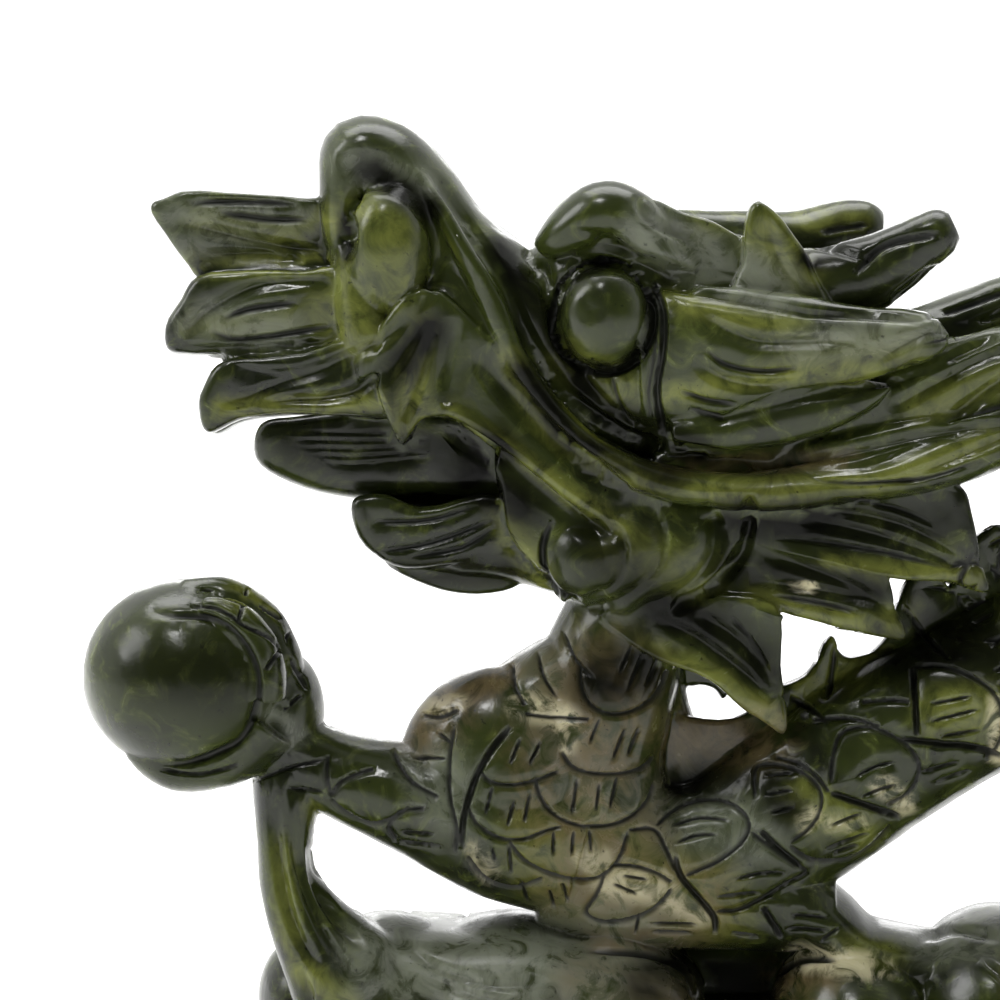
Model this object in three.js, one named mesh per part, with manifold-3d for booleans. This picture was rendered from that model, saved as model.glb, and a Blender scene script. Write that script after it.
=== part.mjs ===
// A jade dragon carving: one solid block of stone, cut as a dragon that holds a pearl over a low rock base.
// Millimetres, +Z up, +X towards the tail, -Y towards the side that the carving is seen from.
// The origin is the centre of the underside's box.
import * as THREE from "three";
import { mergeVertices } from "three/addons/utils/BufferGeometryUtils.js";
import Module from "manifold-3d";

// ---------- Driving dimensions ----------
const LEAN = THREE.MathUtils.degToRad(10); // the setting-out drawing leans back by this
const FOOT = 20; // height of the drawing's zero line above the underside
const PEARL = { centre: [-62.4, 65.6, -8], half: [20.6, 20, 18.6] }; // x, height, depth; half sizes along x, depth, height
const BASE = { left: -47, right: 186, half: 34, top: -1 }; // the rock slab under the mounds
const RIM = 0.6; // share of a blade's half thickness that its rounded rim takes
const PLAIN_FROM = 6; // a leaf further back than this has no flutes
const TIP = [0.7, 1]; // half width and half depth of a leaf's blunt tip
const NEAR = -1;
const FAR = 1;
const JADE = { color: 0x3f4a2c, roughness: 0.22, metalness: 0 };

// A point of the setting-out drawing: x along, h up the drawing, y behind its middle plane.
function at(x, h, y = 0) {
  return new THREE.Vector3(x, y, FOOT + (h - y * Math.sin(LEAN)) / Math.cos(LEAN));
}

const wasm = await Module();
wasm.setup();

// ---------- Forms ----------
// A three.js geometry as a solid that can be joined and cut.
function solidOf(geometry) {
  const bare = geometry.index ? geometry.toNonIndexed() : geometry.clone();
  bare.deleteAttribute("normal");
  bare.deleteAttribute("uv");
  const merged = mergeVertices(bare, 1e-4);
  return new wasm.Manifold(
    new wasm.Mesh({
      numProp: 3,
      vertProperties: merged.attributes.position.array,
      triVerts: new Uint32Array(merged.index.array),
    }),
  );
}

// Moves every vertex of a geometry through a function of its place.
function reshape(geometry, place) {
  const position = geometry.attributes.position;
  const v = new THREE.Vector3();
  for (let i = 0; i < position.count; i++) {
    const p = place(v.fromBufferAttribute(position, i));
    position.setXYZ(i, p.x, p.y, p.z);
  }
  return geometry;
}

const bothSides = (make) => [NEAR, FAR].flatMap((side) => make(side));

// A round section, as [across, deep] points of unit size.
function roundSection(sides) {
  return Array.from({ length: sides }, (_, i) => {
    const a = (i / sides) * 2 * Math.PI;
    return [Math.sin(a), Math.cos(a)];
  });
}

// A section whose near side is cut into ridges by V-shaped flutes, and whose far side is smooth.
function flutedSection(flutes, cut = 0.45) {
  const cuts = 2 * flutes + 2;
  const near = Array.from({ length: cuts - 1 }, (_, i) => {
    const across = 1 - (2 * (i + 1)) / cuts;
    const depth = Math.sqrt(1 - across * across * 0.7);
    return [across, -depth * (i % 2 ? 1 - cut : 1)];
  });
  return [[1, 0], ...near, [-1, 0], [-0.5, 0.9], [0.5, 0.9]];
}

// A limb: a section carried along a spine of [x, h, y, half width in the drawing, half depth], one ring at each point.
function limb(spine, { section = roundSection(6) } = {}) {
  const centre = new THREE.CatmullRomCurve3(spine.map(([x, h, y]) => at(x, h, y)), false, "centripetal");
  const girth = new THREE.CatmullRomCurve3(
    spine.map(([, , , across, deep]) => new THREE.Vector3(across, deep, 0)), false, "centripetal");
  const depthAxis = new THREE.Vector3(0, 1, 0);
  const sides = section.length;
  const steps = spine.length - 1;
  return reshape(new THREE.CylinderGeometry(1, 1, 1, sides, steps, false), (v) => {
    const t = THREE.MathUtils.clamp(v.y + 0.5, 0, 1);
    const middle = centre.getPoint(t);
    const run = centre.getTangent(t);
    const size = girth.getPoint(t);
    const deep = depthAxis.clone().addScaledVector(run, -run.y).normalize();
    const across = run.clone().cross(deep);
    if (Math.hypot(v.x, v.z) < 0.5) return middle; // the centre of an end cap
    const corner = Math.round((Math.atan2(v.x, v.z) / (2 * Math.PI) + 1) * sides) % sides;
    const [u, w] = section[corner];
    return middle.addScaledVector(across, u * size.x).addScaledVector(deep, w * size.y);
  });
}

// A leaf: a limb that ends in a blunt tip, fluted on the near side of the carving and plainer on the far side.
function leaf(spine, tip, { flutes = 2 } = {}) {
  const section = tip[2] > PLAIN_FROM ? roundSection(5) : flutedSection(flutes);
  return limb([...spine, [...tip, ...TIP]], { section });
}

// A blade: an outline of [x, h] points cut from a plate and rounded at its rim. It flares in depth along x.
function blade(outline, { y, half, rim = half * RIM, flare = 0 }) {
  const shape = new THREE.Shape(outline.map(([x, h]) => new THREE.Vector2(x, h)));
  const [x0] = outline[0];
  const plate = new THREE.ExtrudeGeometry(shape, {
    depth: 2 * (half - rim),
    steps: 1,
    bevelEnabled: true,
    bevelSegments: 1,
    bevelThickness: rim,
    bevelSize: rim * 0.7,
    bevelOffset: -rim * 0.7,
  });
  const middle = half - rim;
  return reshape(plate, (v) => at(v.x, v.y, y - (v.z - middle) + flare * (v.x - x0)));
}

// An egg shape at a point of the drawing, with half sizes along x, depth and height.
function egg([x, h, y], [rx, ry, rz], [around, up] = [10, 6]) {
  const c = at(x, h, y);
  return reshape(new THREE.SphereGeometry(1, around, up), (v) =>
    new THREE.Vector3(c.x + v.x * rx, c.y + v.z * -ry, c.z + v.y * rz));
}

// ---------- Head ----------
function skull() {
  return [
    egg([30, 126, 0], [27, 20, 18], [8, 6]),
    egg([38, 143, 0], [24, 17, 10], [8, 6]),
    egg([20, 146, 0], [15, 16, 9], [8, 5]),
    egg([-8, 137, 0], [18, 15, 14], [8, 5]),
    limb([
      [22, 130, 0, 15, 18], [4, 138, 0, 11.5, 16], [-5, 145.4, 0, 10, 14.5], [-10.5, 152, 0, 9.5, 13],
      [-17.6, 162, 0, 9.4, 12], [-22.6, 168.6, 0, 8.9, 11.5], [-28, 169.4, 0, 7.6, 11], [-31, 161, 0, 4.6, 10.5],
      [-31.4, 148, 0, 2.8, 9],
    ], { section: roundSection(8) }),
  ];
}

function eyesAndBrows() {
  return bothSides((side) => [
    egg([21, 136.6, side * 17], [8.8, 7, 8.8], [10, 6]),
    limb([
      [8, 148.6, side * 10, 2.5, 5], [13, 153.4, side * 12, 5.4, 7], [20, 156.4, side * 13, 6, 8],
      [27, 154.4, side * 14, 5.6, 7], [34, 147.6, side * 15, 4.6, 6], [39, 141, side * 15, 2.4, 4],
    ]),
  ]);
}

function nostrils() {
  return bothSides((side) => [egg([-22.5, 150.6, side * 10], [8.6, 6, 10.8], [8, 5])]);
}

// The upper lip with its fang, and the long ridge above it that runs back into the mane.
function upperLips() {
  const lip = [
    [-31, 134], [-26, 142], [-14, 142], [-4, 134], [8, 120], [20, 108], [34, 103], [30, 93], [20, 93], [12, 99],
    [4, 105.6], [-4, 112.4], [-11, 116.6], [-16, 116], [-19.4, 111], [-22.4, 116], [-25.6, 123],
  ];
  const ridge = [
    [-17, 166, -8, 1.5, 2], [-6, 147, -14, 2.2, 3], [2, 131, -16, 2.6, 4], [12, 115, -18, 3, 4],
    [28, 105, -19, 3.2, 5], [48, 101.5, -20, 3.5, 5], [72, 104, -21, 4, 5], [92, 109, -21, 4.5, 5],
    [108, 116, -20, 1.5, 2],
  ];
  return [
    limb(ridge, { section: roundSection(5) }),
    ...bothSides((side) => [blade(lip, { y: side * 13.5, half: 5 })]),
  ];
}

function whiskerFan() {
  const low = (side) =>
    leaf([
      [-14, 126, side * 10, 8, 5], [-28, 122.6, side * 10, 7.4, 5], [-42, 121.4, side * 10, 6.6, 5],
      [-52, 121, side * 10, 6.6, 4.5], [-56.6, 118.6, side * 10, 4.8, 3],
    ], [-59, 114.4, side * 10]);
  return [
    leaf([[-24, 152, 2, 8.5, 5], [-40, 152.6, 2, 8.4, 5], [-52, 153, 2, 8.4, 5], [-60.5, 153.8, 2, 8, 4.5],
      [-65.6, 156.4, 2, 4.8, 3]], [-69, 158.4, 2]),
    leaf([[-20, 137, -6, 9, 5.5], [-36, 137, -6, 9, 5.5], [-50, 136.8, -6, 8.6, 5], [-59, 136.4, -6, 8.4, 5],
      [-64, 134, -6, 5.6, 3.5]], [-66.6, 132, -6]),
    ...bothSides((side) => [low(side)]),
  ];
}

function mouth() {
  const tongue = [
    [-47.6, 115], [-40, 116.4], [-26, 118], [-4, 118], [26, 112], [26, 100], [-14, 102], [-28, 101.6],
    [-42, 104.4], [-48.4, 108.4],
  ];
  const palate = [[-24, 103], [-21, 113], [-8, 118], [22, 112], [20, 92], [0, 90], [-14, 94], [-22, 98]];
  const gum = [[-28, 100], [-23, 100.6], [-16, 98.4], [0, 101], [6, 94], [1, 90], [-12, 87], [-20, 87.6], [-27, 93]];
  const corner = [[-0.6, 112], [6, 108], [14, 100], [24, 93], [13, 79.6], [9, 81.6], [4, 88], [0, 98]];
  const tuft = [[-23, 88], [-3, 90.4], [2, 90], [6, 85.4], [2, 82.4], [-6, 81.4], [-14, 83]];
  return [
    blade(tongue, { y: 0, half: 6 }),
    blade(palate, { y: 8, half: 4 }),
    limb([[26, 86, 0, 9, 15], [4, 91, 0, 7, 13], [-10, 91.5, 0, 6, 11.5], [-20, 93, 0, 5, 10], [-27, 97, 0, 3, 7]]),
    blade(tuft, { y: -2, half: 5, rim: 1.4 }),
    blade(gum, { y: -9.5, half: 3.5 }),
    blade(corner, { y: -14, half: 3.5, rim: 1.6 }),
  ];
}

function ears() {
  const lobe = leaf([[34, 113, -18, 3, 4], [48, 114.4, -19, 4.6, 4], [60, 117, -20, 4.6, 4], [70, 120, -21, 3.2, 3]],
    [76, 122.4, -22], { flutes: 1 });
  return [lobe, ...bothSides((side) => [
    leaf([[28, 128, side * 17, 13, 5], [44, 128.6, side * 19.6, 13, 5], [58, 130, side * 21.5, 10, 5],
      [70, 130.4, side * 23, 7.2, 4.6], [80, 131, side * 24.6, 4.8, 4], [85, 131, side * 25.4, 2.6, 2.6]],
    [86.4, 131, side * 25.6], { flutes: 3 }),
  ])];
}

function horns() {
  return [
    limb([[50, 142, -9, 8, 6], [62, 141, -10, 7, 7], [73, 142.5, -11, 7, 7], [82, 147.6, -12, 5.6, 6],
      [88, 152.6, -13, 3.6, 4.5]]),
    limb([[56, 140, -12, 9, 6], [56, 148, -12, 7, 5], [53, 158.4, -12, 1.2, 1.4]]),
    limb([[34, 152, 8, 5, 6], [44, 154.6, 11, 4.4, 6], [60, 153.6, 13, 5.6, 7], [72, 155, 14, 5, 5.5], [76, 155, 14, 3.4, 3.6]]),
    limb([[58, 138, 12, 9, 6], [74, 139, 13, 8, 7], [84, 143, 14, 5, 5], [88, 146, 14, 2.6, 3]]),
  ];
}

function mane() {
  const core = limb([[30, 112, 0, 20, 17], [62, 116, 0, 17, 17], [88, 121, 0, 10, 12], [104, 126, 0, 5, 6],
    [118, 132, 0, 1.5, 2]]);
  const crest = leaf([[70, 128, 1, 6, 9], [90, 136, 1, 6.5, 9], [102, 141, 1, 5, 7]], [115, 147, 1]);
  const locks = bothSides((side) => [
    leaf([[66, 114, side * 12, 7, 6], [84, 121, side * 15, 9, 7], [98, 126, side * 16, 8, 6],
      [111, 131, side * 17, 5, 5]], [122, 137, side * 18]),
    leaf([[50, 103, side * 14, 5, 6], [70, 107, side * 17, 7, 7], [88, 110, side * 18, 8.5, 7],
      [104, 114, side * 18, 7, 6], [118, 119, side * 18, 4.4, 4]], [128, 125, side * 18]),
  ]);
  return [core, crest, ...locks];
}

function cheeksAndBeard() {
  const middle = leaf([[42, 84, -11, 5, 4], [56, 83.6, -13, 5.6, 4.4], [68, 81.6, -15, 5.4, 4.4],
    [75, 79.4, -16.4, 4.8, 4], [79, 76, -17, 2.8, 3]], [80.6, 73.2, -17.4]);
  return [middle, ...bothSides((side) => [
    egg([29, 91.4, side * 6], [20.5, 13, 14.4], [8, 6]),
    leaf([[44, 94, side * 12, 5.5, 4], [58, 94.4, side * 14, 7, 4.4], [72, 93.8, side * 16, 8.4, 5],
      [83, 93, side * 18, 9.2, 5], [90.6, 89.6, side * 19, 8.4, 4.4], [95, 85.6, side * 20, 4, 3]],
    [97.6, 82, side * 20.4]),
    leaf([[24, 80, side * 9, 3.4, 4], [35, 78, side * 11, 5.6, 4.6], [43.6, 74, side * 13, 8, 5],
      [48.4, 67, side * 14.4, 7.2, 4.6], [52.4, 60, side * 15.4, 4, 3.4]], [56, 53.8, side * 16]),
  ])];
}

// ---------- Body ----------
// The neck comes down behind the beard, turns over the base and rises into the arched back.
function body() {
  const back = [
    [36, 104, 2, 12, 14], [31, 92, 2, 12.5, 14], [26, 78, 1, 12.5, 14], [21, 63, 0, 14.5, 15], [16, 48, 0, 17.5, 16],
    [18, 34, 0, 18, 17], [28, 27, 0, 17, 17], [44, 28, 0, 16.5, 17], [60, 38, 0, 17.5, 17], [75, 48.5, 0, 18, 17],
    [91, 58, 0, 17.5, 17], [108, 68, 1, 16.5, 16.5], [124, 76, 2, 15.5, 16], [139, 77, 3, 14.5, 15],
    [151, 67, 4, 13.5, 14], [157, 50, 5, 12.5, 13.5], [159, 32, 6, 12, 13], [162, 14, 6, 11, 12],
  ];
  const belly = [[10, 26, 0, 12, 15], [26, 22, 0, 12, 16], [46, 20.6, 0, 11, 15.5], [60, 19.6, 0, 10.4, 15],
    [67, 19, 0, 8, 12]];
  return [limb(back, { section: roundSection(10) }), limb(belly, { section: roundSection(8) })];
}

// The fins along the back, with the web that fills the bend between neck and back.
function dorsalFins() {
  const outline = [
    [30, 56], [44, 55], [50, 56.4], [56, 62], [62, 65], [66.6, 72.8], [69, 66.4], [77, 67], [80, 72],
    [82, 80], [87, 87], [90, 82], [94, 91], [100, 95], [103, 87], [112, 95], [119, 99], [118, 90], [128, 98],
    [137, 101], [136, 92], [155, 94], [151, 85], [168, 80], [162, 73], [172, 62], [162, 57],
    [150, 60], [130, 76], [100, 58], [70, 36], [28, 44],
  ];
  return [blade(outline, { y: 1, half: 3.4 })];
}

function tail() {
  const tuft = [
    [[186, 44, 2, 3.4, 4], [191, 56, 2, 4, 4], [195, 66, 2, 2.4, 3], [196, 72, 2]],
    [[184, 50, 2, 4, 4], [186, 66, 2, 4.8, 4], [189, 80, 2, 3, 3], [188, 92, 2]],
    [[182, 48, 2, 4, 4], [177, 62, 2, 4.8, 4], [174, 74, 2, 3, 3], [171, 84, 2]],
  ];
  return [
    limb([[162, 20, 7, 11, 12], [170, 15, 7, 9, 10], [181, 19, 5, 7.4, 8.4], [187, 32, 3, 6, 7], [185, 48, 2, 5, 6]]),
    ...tuft.map((spine) => leaf(spine.slice(0, -1), spine.at(-1), { flutes: 1 })),
  ];
}

// ---------- Legs, pearl and claw ----------
function foreleg() {
  return [
    egg([-1, 45.6, -5], [20.8, 15, 21], [10, 7]),
    limb([[16, 66, 0, 9, 12], [6, 60, -2, 9, 12], [-2, 50, -4, 14, 14]]),
    limb([[14, 32, -4, 16, 15], [0, 35.4, -6, 15, 15], [-11, 39, -8, 12.6, 13], [-21, 42, -8, 10.4, 11.5],
      [-33, 45.8, -8, 8.2, 9.5], [-42, 50, -8, 7.8, 9], [-52, 56, -8, 7, 8]], { section: roundSection(8) }),
  ];
}

// A toe lies on the pearl along an arc in its own plane, between two angles in degrees above the tail side.
function toe(depth, from, to, thick) {
  const [x, h, y] = PEARL.centre;
  const [rx, ry, rz] = PEARL.half;
  const joints = 4;
  const shrink = Math.sqrt(1 - (depth / ry) ** 2);
  const spine = Array.from({ length: joints + 1 }, (_, i) => {
    const a = THREE.MathUtils.degToRad(from + ((to - from) * i) / joints);
    const girth = thick * (i === joints ? 0.35 : 1 - 0.08 * i);
    return [x + rx * shrink * Math.cos(a), h + rz * shrink * Math.sin(a), y + depth, girth * 0.8, girth];
  });
  return limb(spine, { section: roundSection(5) });
}

function pearlAndClaw() {
  return [
    egg(PEARL.centre, PEARL.half, [16, 9]),
    toe(-11, -15, 76, 4.2),
    toe(-2, -15, 96, 4.4),
    toe(8, -15, 86, 4.4),
    toe(-6, -30, -126, 6.4),
    egg([-45, 56, -6], [9, 12, 9.4], [8, 5]),
    leaf([[-41.5, 48, -9, 6.4, 8], [-41.8, 38, -10, 5.4, 7], [-41.6, 29, -11, 5, 7], [-38.6, 20, -12, 6.8, 8],
      [-33, 11, -13, 9.4, 9], [-25, 2, -14, 12, 11]], [-14, -8, -14], { flutes: 3 }),
  ];
}

function hindLeg() {
  const claws = [-22, -15, -8].map((y, i) =>
    limb([[135, 21, -15, 4.6, 4], [118 + i, 16, y, 2, 2]], { section: roundSection(5) }));
  return [
    limb([[146, 74, -8, 11, 10], [134, 60, -12, 11, 10], [127, 46, -14, 8, 8], [134, 34, -15, 6.5, 7], [136, 20, -16, 6, 7]]),
    ...claws,
  ];
}

// ---------- Rock base ----------
function base() {
  const { left, right, half, top } = BASE;
  const [middle, thick] = [top - 12, 12];
  const slab = limb([
    [left, middle, 0, thick * 0.7, half * 0.5], [left + 14, middle, 0, thick, half * 0.9], [50, middle, 0, thick, half],
    [right - 30, middle, 0, thick, half * 0.95], [right, middle, 0, thick * 0.7, half * 0.5],
  ], { section: roundSection(8) });
  // Mounds: [x, h, y] and half sizes. The gap between the first three and the rest is a deep recess.
  const mounds = [
    [[-38, -6, 4], [10, 14, 14]], [[-22, -2, -6], [19, 20, 19.4]], [[2, -2.6, -5], [22, 24, 19.4]],
    [[22, -4, -4], [17, 25, 19]], [[45, -2, 14], [22, 13, 19]], [[72, -4, -3], [17, 24, 17]],
    [[94, -2, -2], [20, 26, 19.4]], [[118, -2, 0], [20, 24, 24]], [[150, -4, 2], [28, 24, 22]],
  ];
  return [slab, ...mounds.map(([place, size]) => egg(place, size, [8, 5]))];
}

// ---------- Carving ----------
const forms = [
  skull, eyesAndBrows, nostrils, upperLips, whiskerFan, mouth, ears, horns, mane, cheeksAndBeard, body, dorsalFins, tail,
  foreleg, pearlAndClaw, hindLeg, base,
].flatMap((form) => form());

// Everything below the underside is sawn off, which leaves the flat face that the carving stands on.
const sawn = new THREE.BoxGeometry(400, 200, 60).translate(60, 0, -30);
const block = forms.map(solidOf).reduce((stone, form) => stone.add(form)).subtract(solidOf(sawn));

const mesh = block.getMesh();
const stone = new THREE.BufferGeometry();
stone.setAttribute("position", new THREE.BufferAttribute(new Float32Array(mesh.vertProperties), mesh.numProp));
stone.setIndex(new THREE.BufferAttribute(mesh.triVerts, 1));
stone.computeBoundingBox();
const { min, max } = stone.boundingBox;
stone.translate(-(min.x + max.x) / 2, -(min.y + max.y) / 2, -min.z);

const dragon = new THREE.Mesh(stone, new THREE.MeshStandardMaterial(JADE));
dragon.name = "dragon_carving";

const carving = new THREE.Group();
carving.add(dragon);
export default carving;
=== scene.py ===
"""A jade dragon carving: the polished stone, its cut relief and its colours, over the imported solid.

The carving is one block of nephrite. Its forms are built as smooth closed shapes in one mesh, fused into a
single skin, cut with a carver's strokes, and thinned to a mesh that keeps its triangles where it is carved.
"""
import logging
import math
from collections.abc import Callable, Sequence
from dataclasses import dataclass, field
from enum import Enum

import bmesh
import bpy
import numpy as np
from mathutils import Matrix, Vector
from mathutils.bvhtree import BVHTree


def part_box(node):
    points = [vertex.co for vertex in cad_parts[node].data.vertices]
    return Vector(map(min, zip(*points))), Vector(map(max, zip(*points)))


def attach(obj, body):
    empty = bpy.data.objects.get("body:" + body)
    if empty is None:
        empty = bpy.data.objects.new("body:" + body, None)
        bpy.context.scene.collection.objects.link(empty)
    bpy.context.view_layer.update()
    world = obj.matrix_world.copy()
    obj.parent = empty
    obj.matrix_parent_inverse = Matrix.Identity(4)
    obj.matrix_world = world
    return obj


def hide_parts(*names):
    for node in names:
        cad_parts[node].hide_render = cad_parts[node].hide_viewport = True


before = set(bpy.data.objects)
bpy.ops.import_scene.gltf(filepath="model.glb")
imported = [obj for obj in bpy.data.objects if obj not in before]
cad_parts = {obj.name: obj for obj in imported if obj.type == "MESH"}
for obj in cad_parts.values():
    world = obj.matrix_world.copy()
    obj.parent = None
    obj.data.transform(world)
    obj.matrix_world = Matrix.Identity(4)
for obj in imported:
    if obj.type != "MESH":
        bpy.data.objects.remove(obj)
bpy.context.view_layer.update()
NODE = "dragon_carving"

log = logging.getLogger("jade_dragon")

BODY = "root"
Point2 = tuple[float, float]
Point3 = tuple[float, float, float]
Ring = tuple[float, float, float, float, float]  # x, h, y, half width, half depth
Outline = tuple[Point2, ...]
Spine = tuple[Ring, ...]
Socket = bpy.types.NodeSocket
FAR_AWAY = 1e9  # mm, past anything on the drawing
TINY = 1e-6  # a length below which a step counts as none
MM_IN_METRE = 1000


class Side(Enum):
    """The faces of the carving. The near one is finished to be looked at."""

    NEAR = -1
    FAR = 1
    BOTH = 0


class Profile(Enum):
    """The section that a carver's burr or wheel leaves across a stroke."""

    VEE = "vee"
    ROUND = "round"
    STEP = "step"  # steep on the left of the stroke's run, and a long slope on its right


class Patch(Enum):
    """The colours laid over the stone's green. Cream and tan are the stone's own; olive is partly lighter
    stone and partly painted light, pale is painted sheen, and dark is painted shade with a few darker
    patches of stone.
    """

    CREAM = "cream"
    # lighter olive stone, and painted light on lit rims and thin leaf edges
    OLIVE = "olive"
    # painted sheen: the grey of reflections, laid into the colour
    PALE = "pale"
    TAN = "tan"
    # painted shade in recesses, crevices, the eye ring and the nostril, and a few darker patches of stone
    DARK = "dark"


# ---------- Setting out ----------
@dataclass(frozen=True)
class Drawing:
    """The setting-out drawing of the carving: x along, h up the drawing, y behind its middle plane, in mm.

    It leans back, as the carving is seen from a little above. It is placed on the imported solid's box.
    """

    low: Vector
    high: Vector
    length: float = 280.0
    left: float = -83.0
    foot: float = 20.0
    lean: float = math.radians(10.0)
    eye_distance: float = 1000.0
    eye_height: float = 100.0

    @property
    def unit(self) -> float:
        """Metres in one millimetre of the drawing."""
        return (self.high.x - self.low.x) / self.length

    def place(self, points: np.ndarray) -> np.ndarray:
        """Turn drawing points into places on the object.

        Args:
            points: rows of x, h, y in mm.

        Returns:
            Rows of x, y, z in metres.
        """
        x, h, y = np.asarray(points, float).T
        z = self.foot + (h - y * math.sin(self.lean)) / math.cos(self.lean)
        return np.stack([self.low.x + (x - self.left) * self.unit, y * self.unit,
                         self.low.z + z * self.unit], 1)

    def read(self, places: np.ndarray) -> np.ndarray:
        """Turn places on the object back into drawing points, as rows of x, h, y in mm."""
        x = (places[:, 0] - self.low.x) / self.unit + self.left
        y = places[:, 1] / self.unit
        z = (places[:, 2] - self.low.z) / self.unit
        return np.stack([x, (z - self.foot) * math.cos(self.lean) + y * math.sin(self.lean), y], 1)

    def facing(self, side: Side) -> np.ndarray:
        """The direction from the carving to someone who looks at a side of it."""
        return side.value * np.array([0.0, math.cos(self.lean), -math.sin(self.lean)])

    def sighted(self, places: np.ndarray, side: Side) -> np.ndarray:
        """Where places appear on the drawing to an eye before one side, as rows of x, h, depth."""
        x, h, y = self.read(places).T
        depth = -side.value * y
        up = h - self.eye_height
        rise = (up - depth * math.sin(self.lean)) / math.cos(self.lean)
        away = self.eye_distance + depth * math.cos(self.lean) - rise * math.sin(self.lean)
        grow = self.eye_distance / away
        return np.stack([x * grow, self.eye_height + up * grow, depth], 1)


def catmull(points: np.ndarray, count: int, closed: bool = False) -> np.ndarray:
    """Carry a centripetal Catmull-Rom curve through points.

    Args:
        points: rows of any number of values. The first three set the spacing.
        count: how many points the curve gets between each pair of its own points.
        closed: whether the curve returns to its first point.

    Returns:
        Rows along the curve, with the given points among them.
    """
    p = np.asarray(points, float)
    if closed:
        p = np.vstack([p[-1], p, p[0], p[1]])
    else:
        p = np.vstack([2 * p[0] - p[1], p, 2 * p[-1] - p[-2]])
    gaps = np.maximum(np.linalg.norm(np.diff(p[:, :3], axis=0), axis=1), TINY) ** 0.5
    rows = []
    for i in range(1, len(p) - 2):
        k = np.concatenate([[0.0], np.cumsum(gaps[i - 1:i + 2])])
        t = np.linspace(k[1], k[2], count, endpoint=False)[:, None]
        a = [((k[j + 1] - t) * p[i - 1 + j] + (t - k[j]) * p[i + j]) / (k[j + 1] - k[j]) for j in range(3)]
        b = [((k[j + 2] - t) * a[j] + (t - k[j]) * a[j + 1]) / (k[j + 2] - k[j]) for j in range(2)]
        rows.append(((k[2] - t) * b[0] + (t - k[1]) * b[1]) / (k[2] - k[1]))
    if not closed:
        rows.append(p[-2][None])
    return np.vstack(rows)


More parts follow.
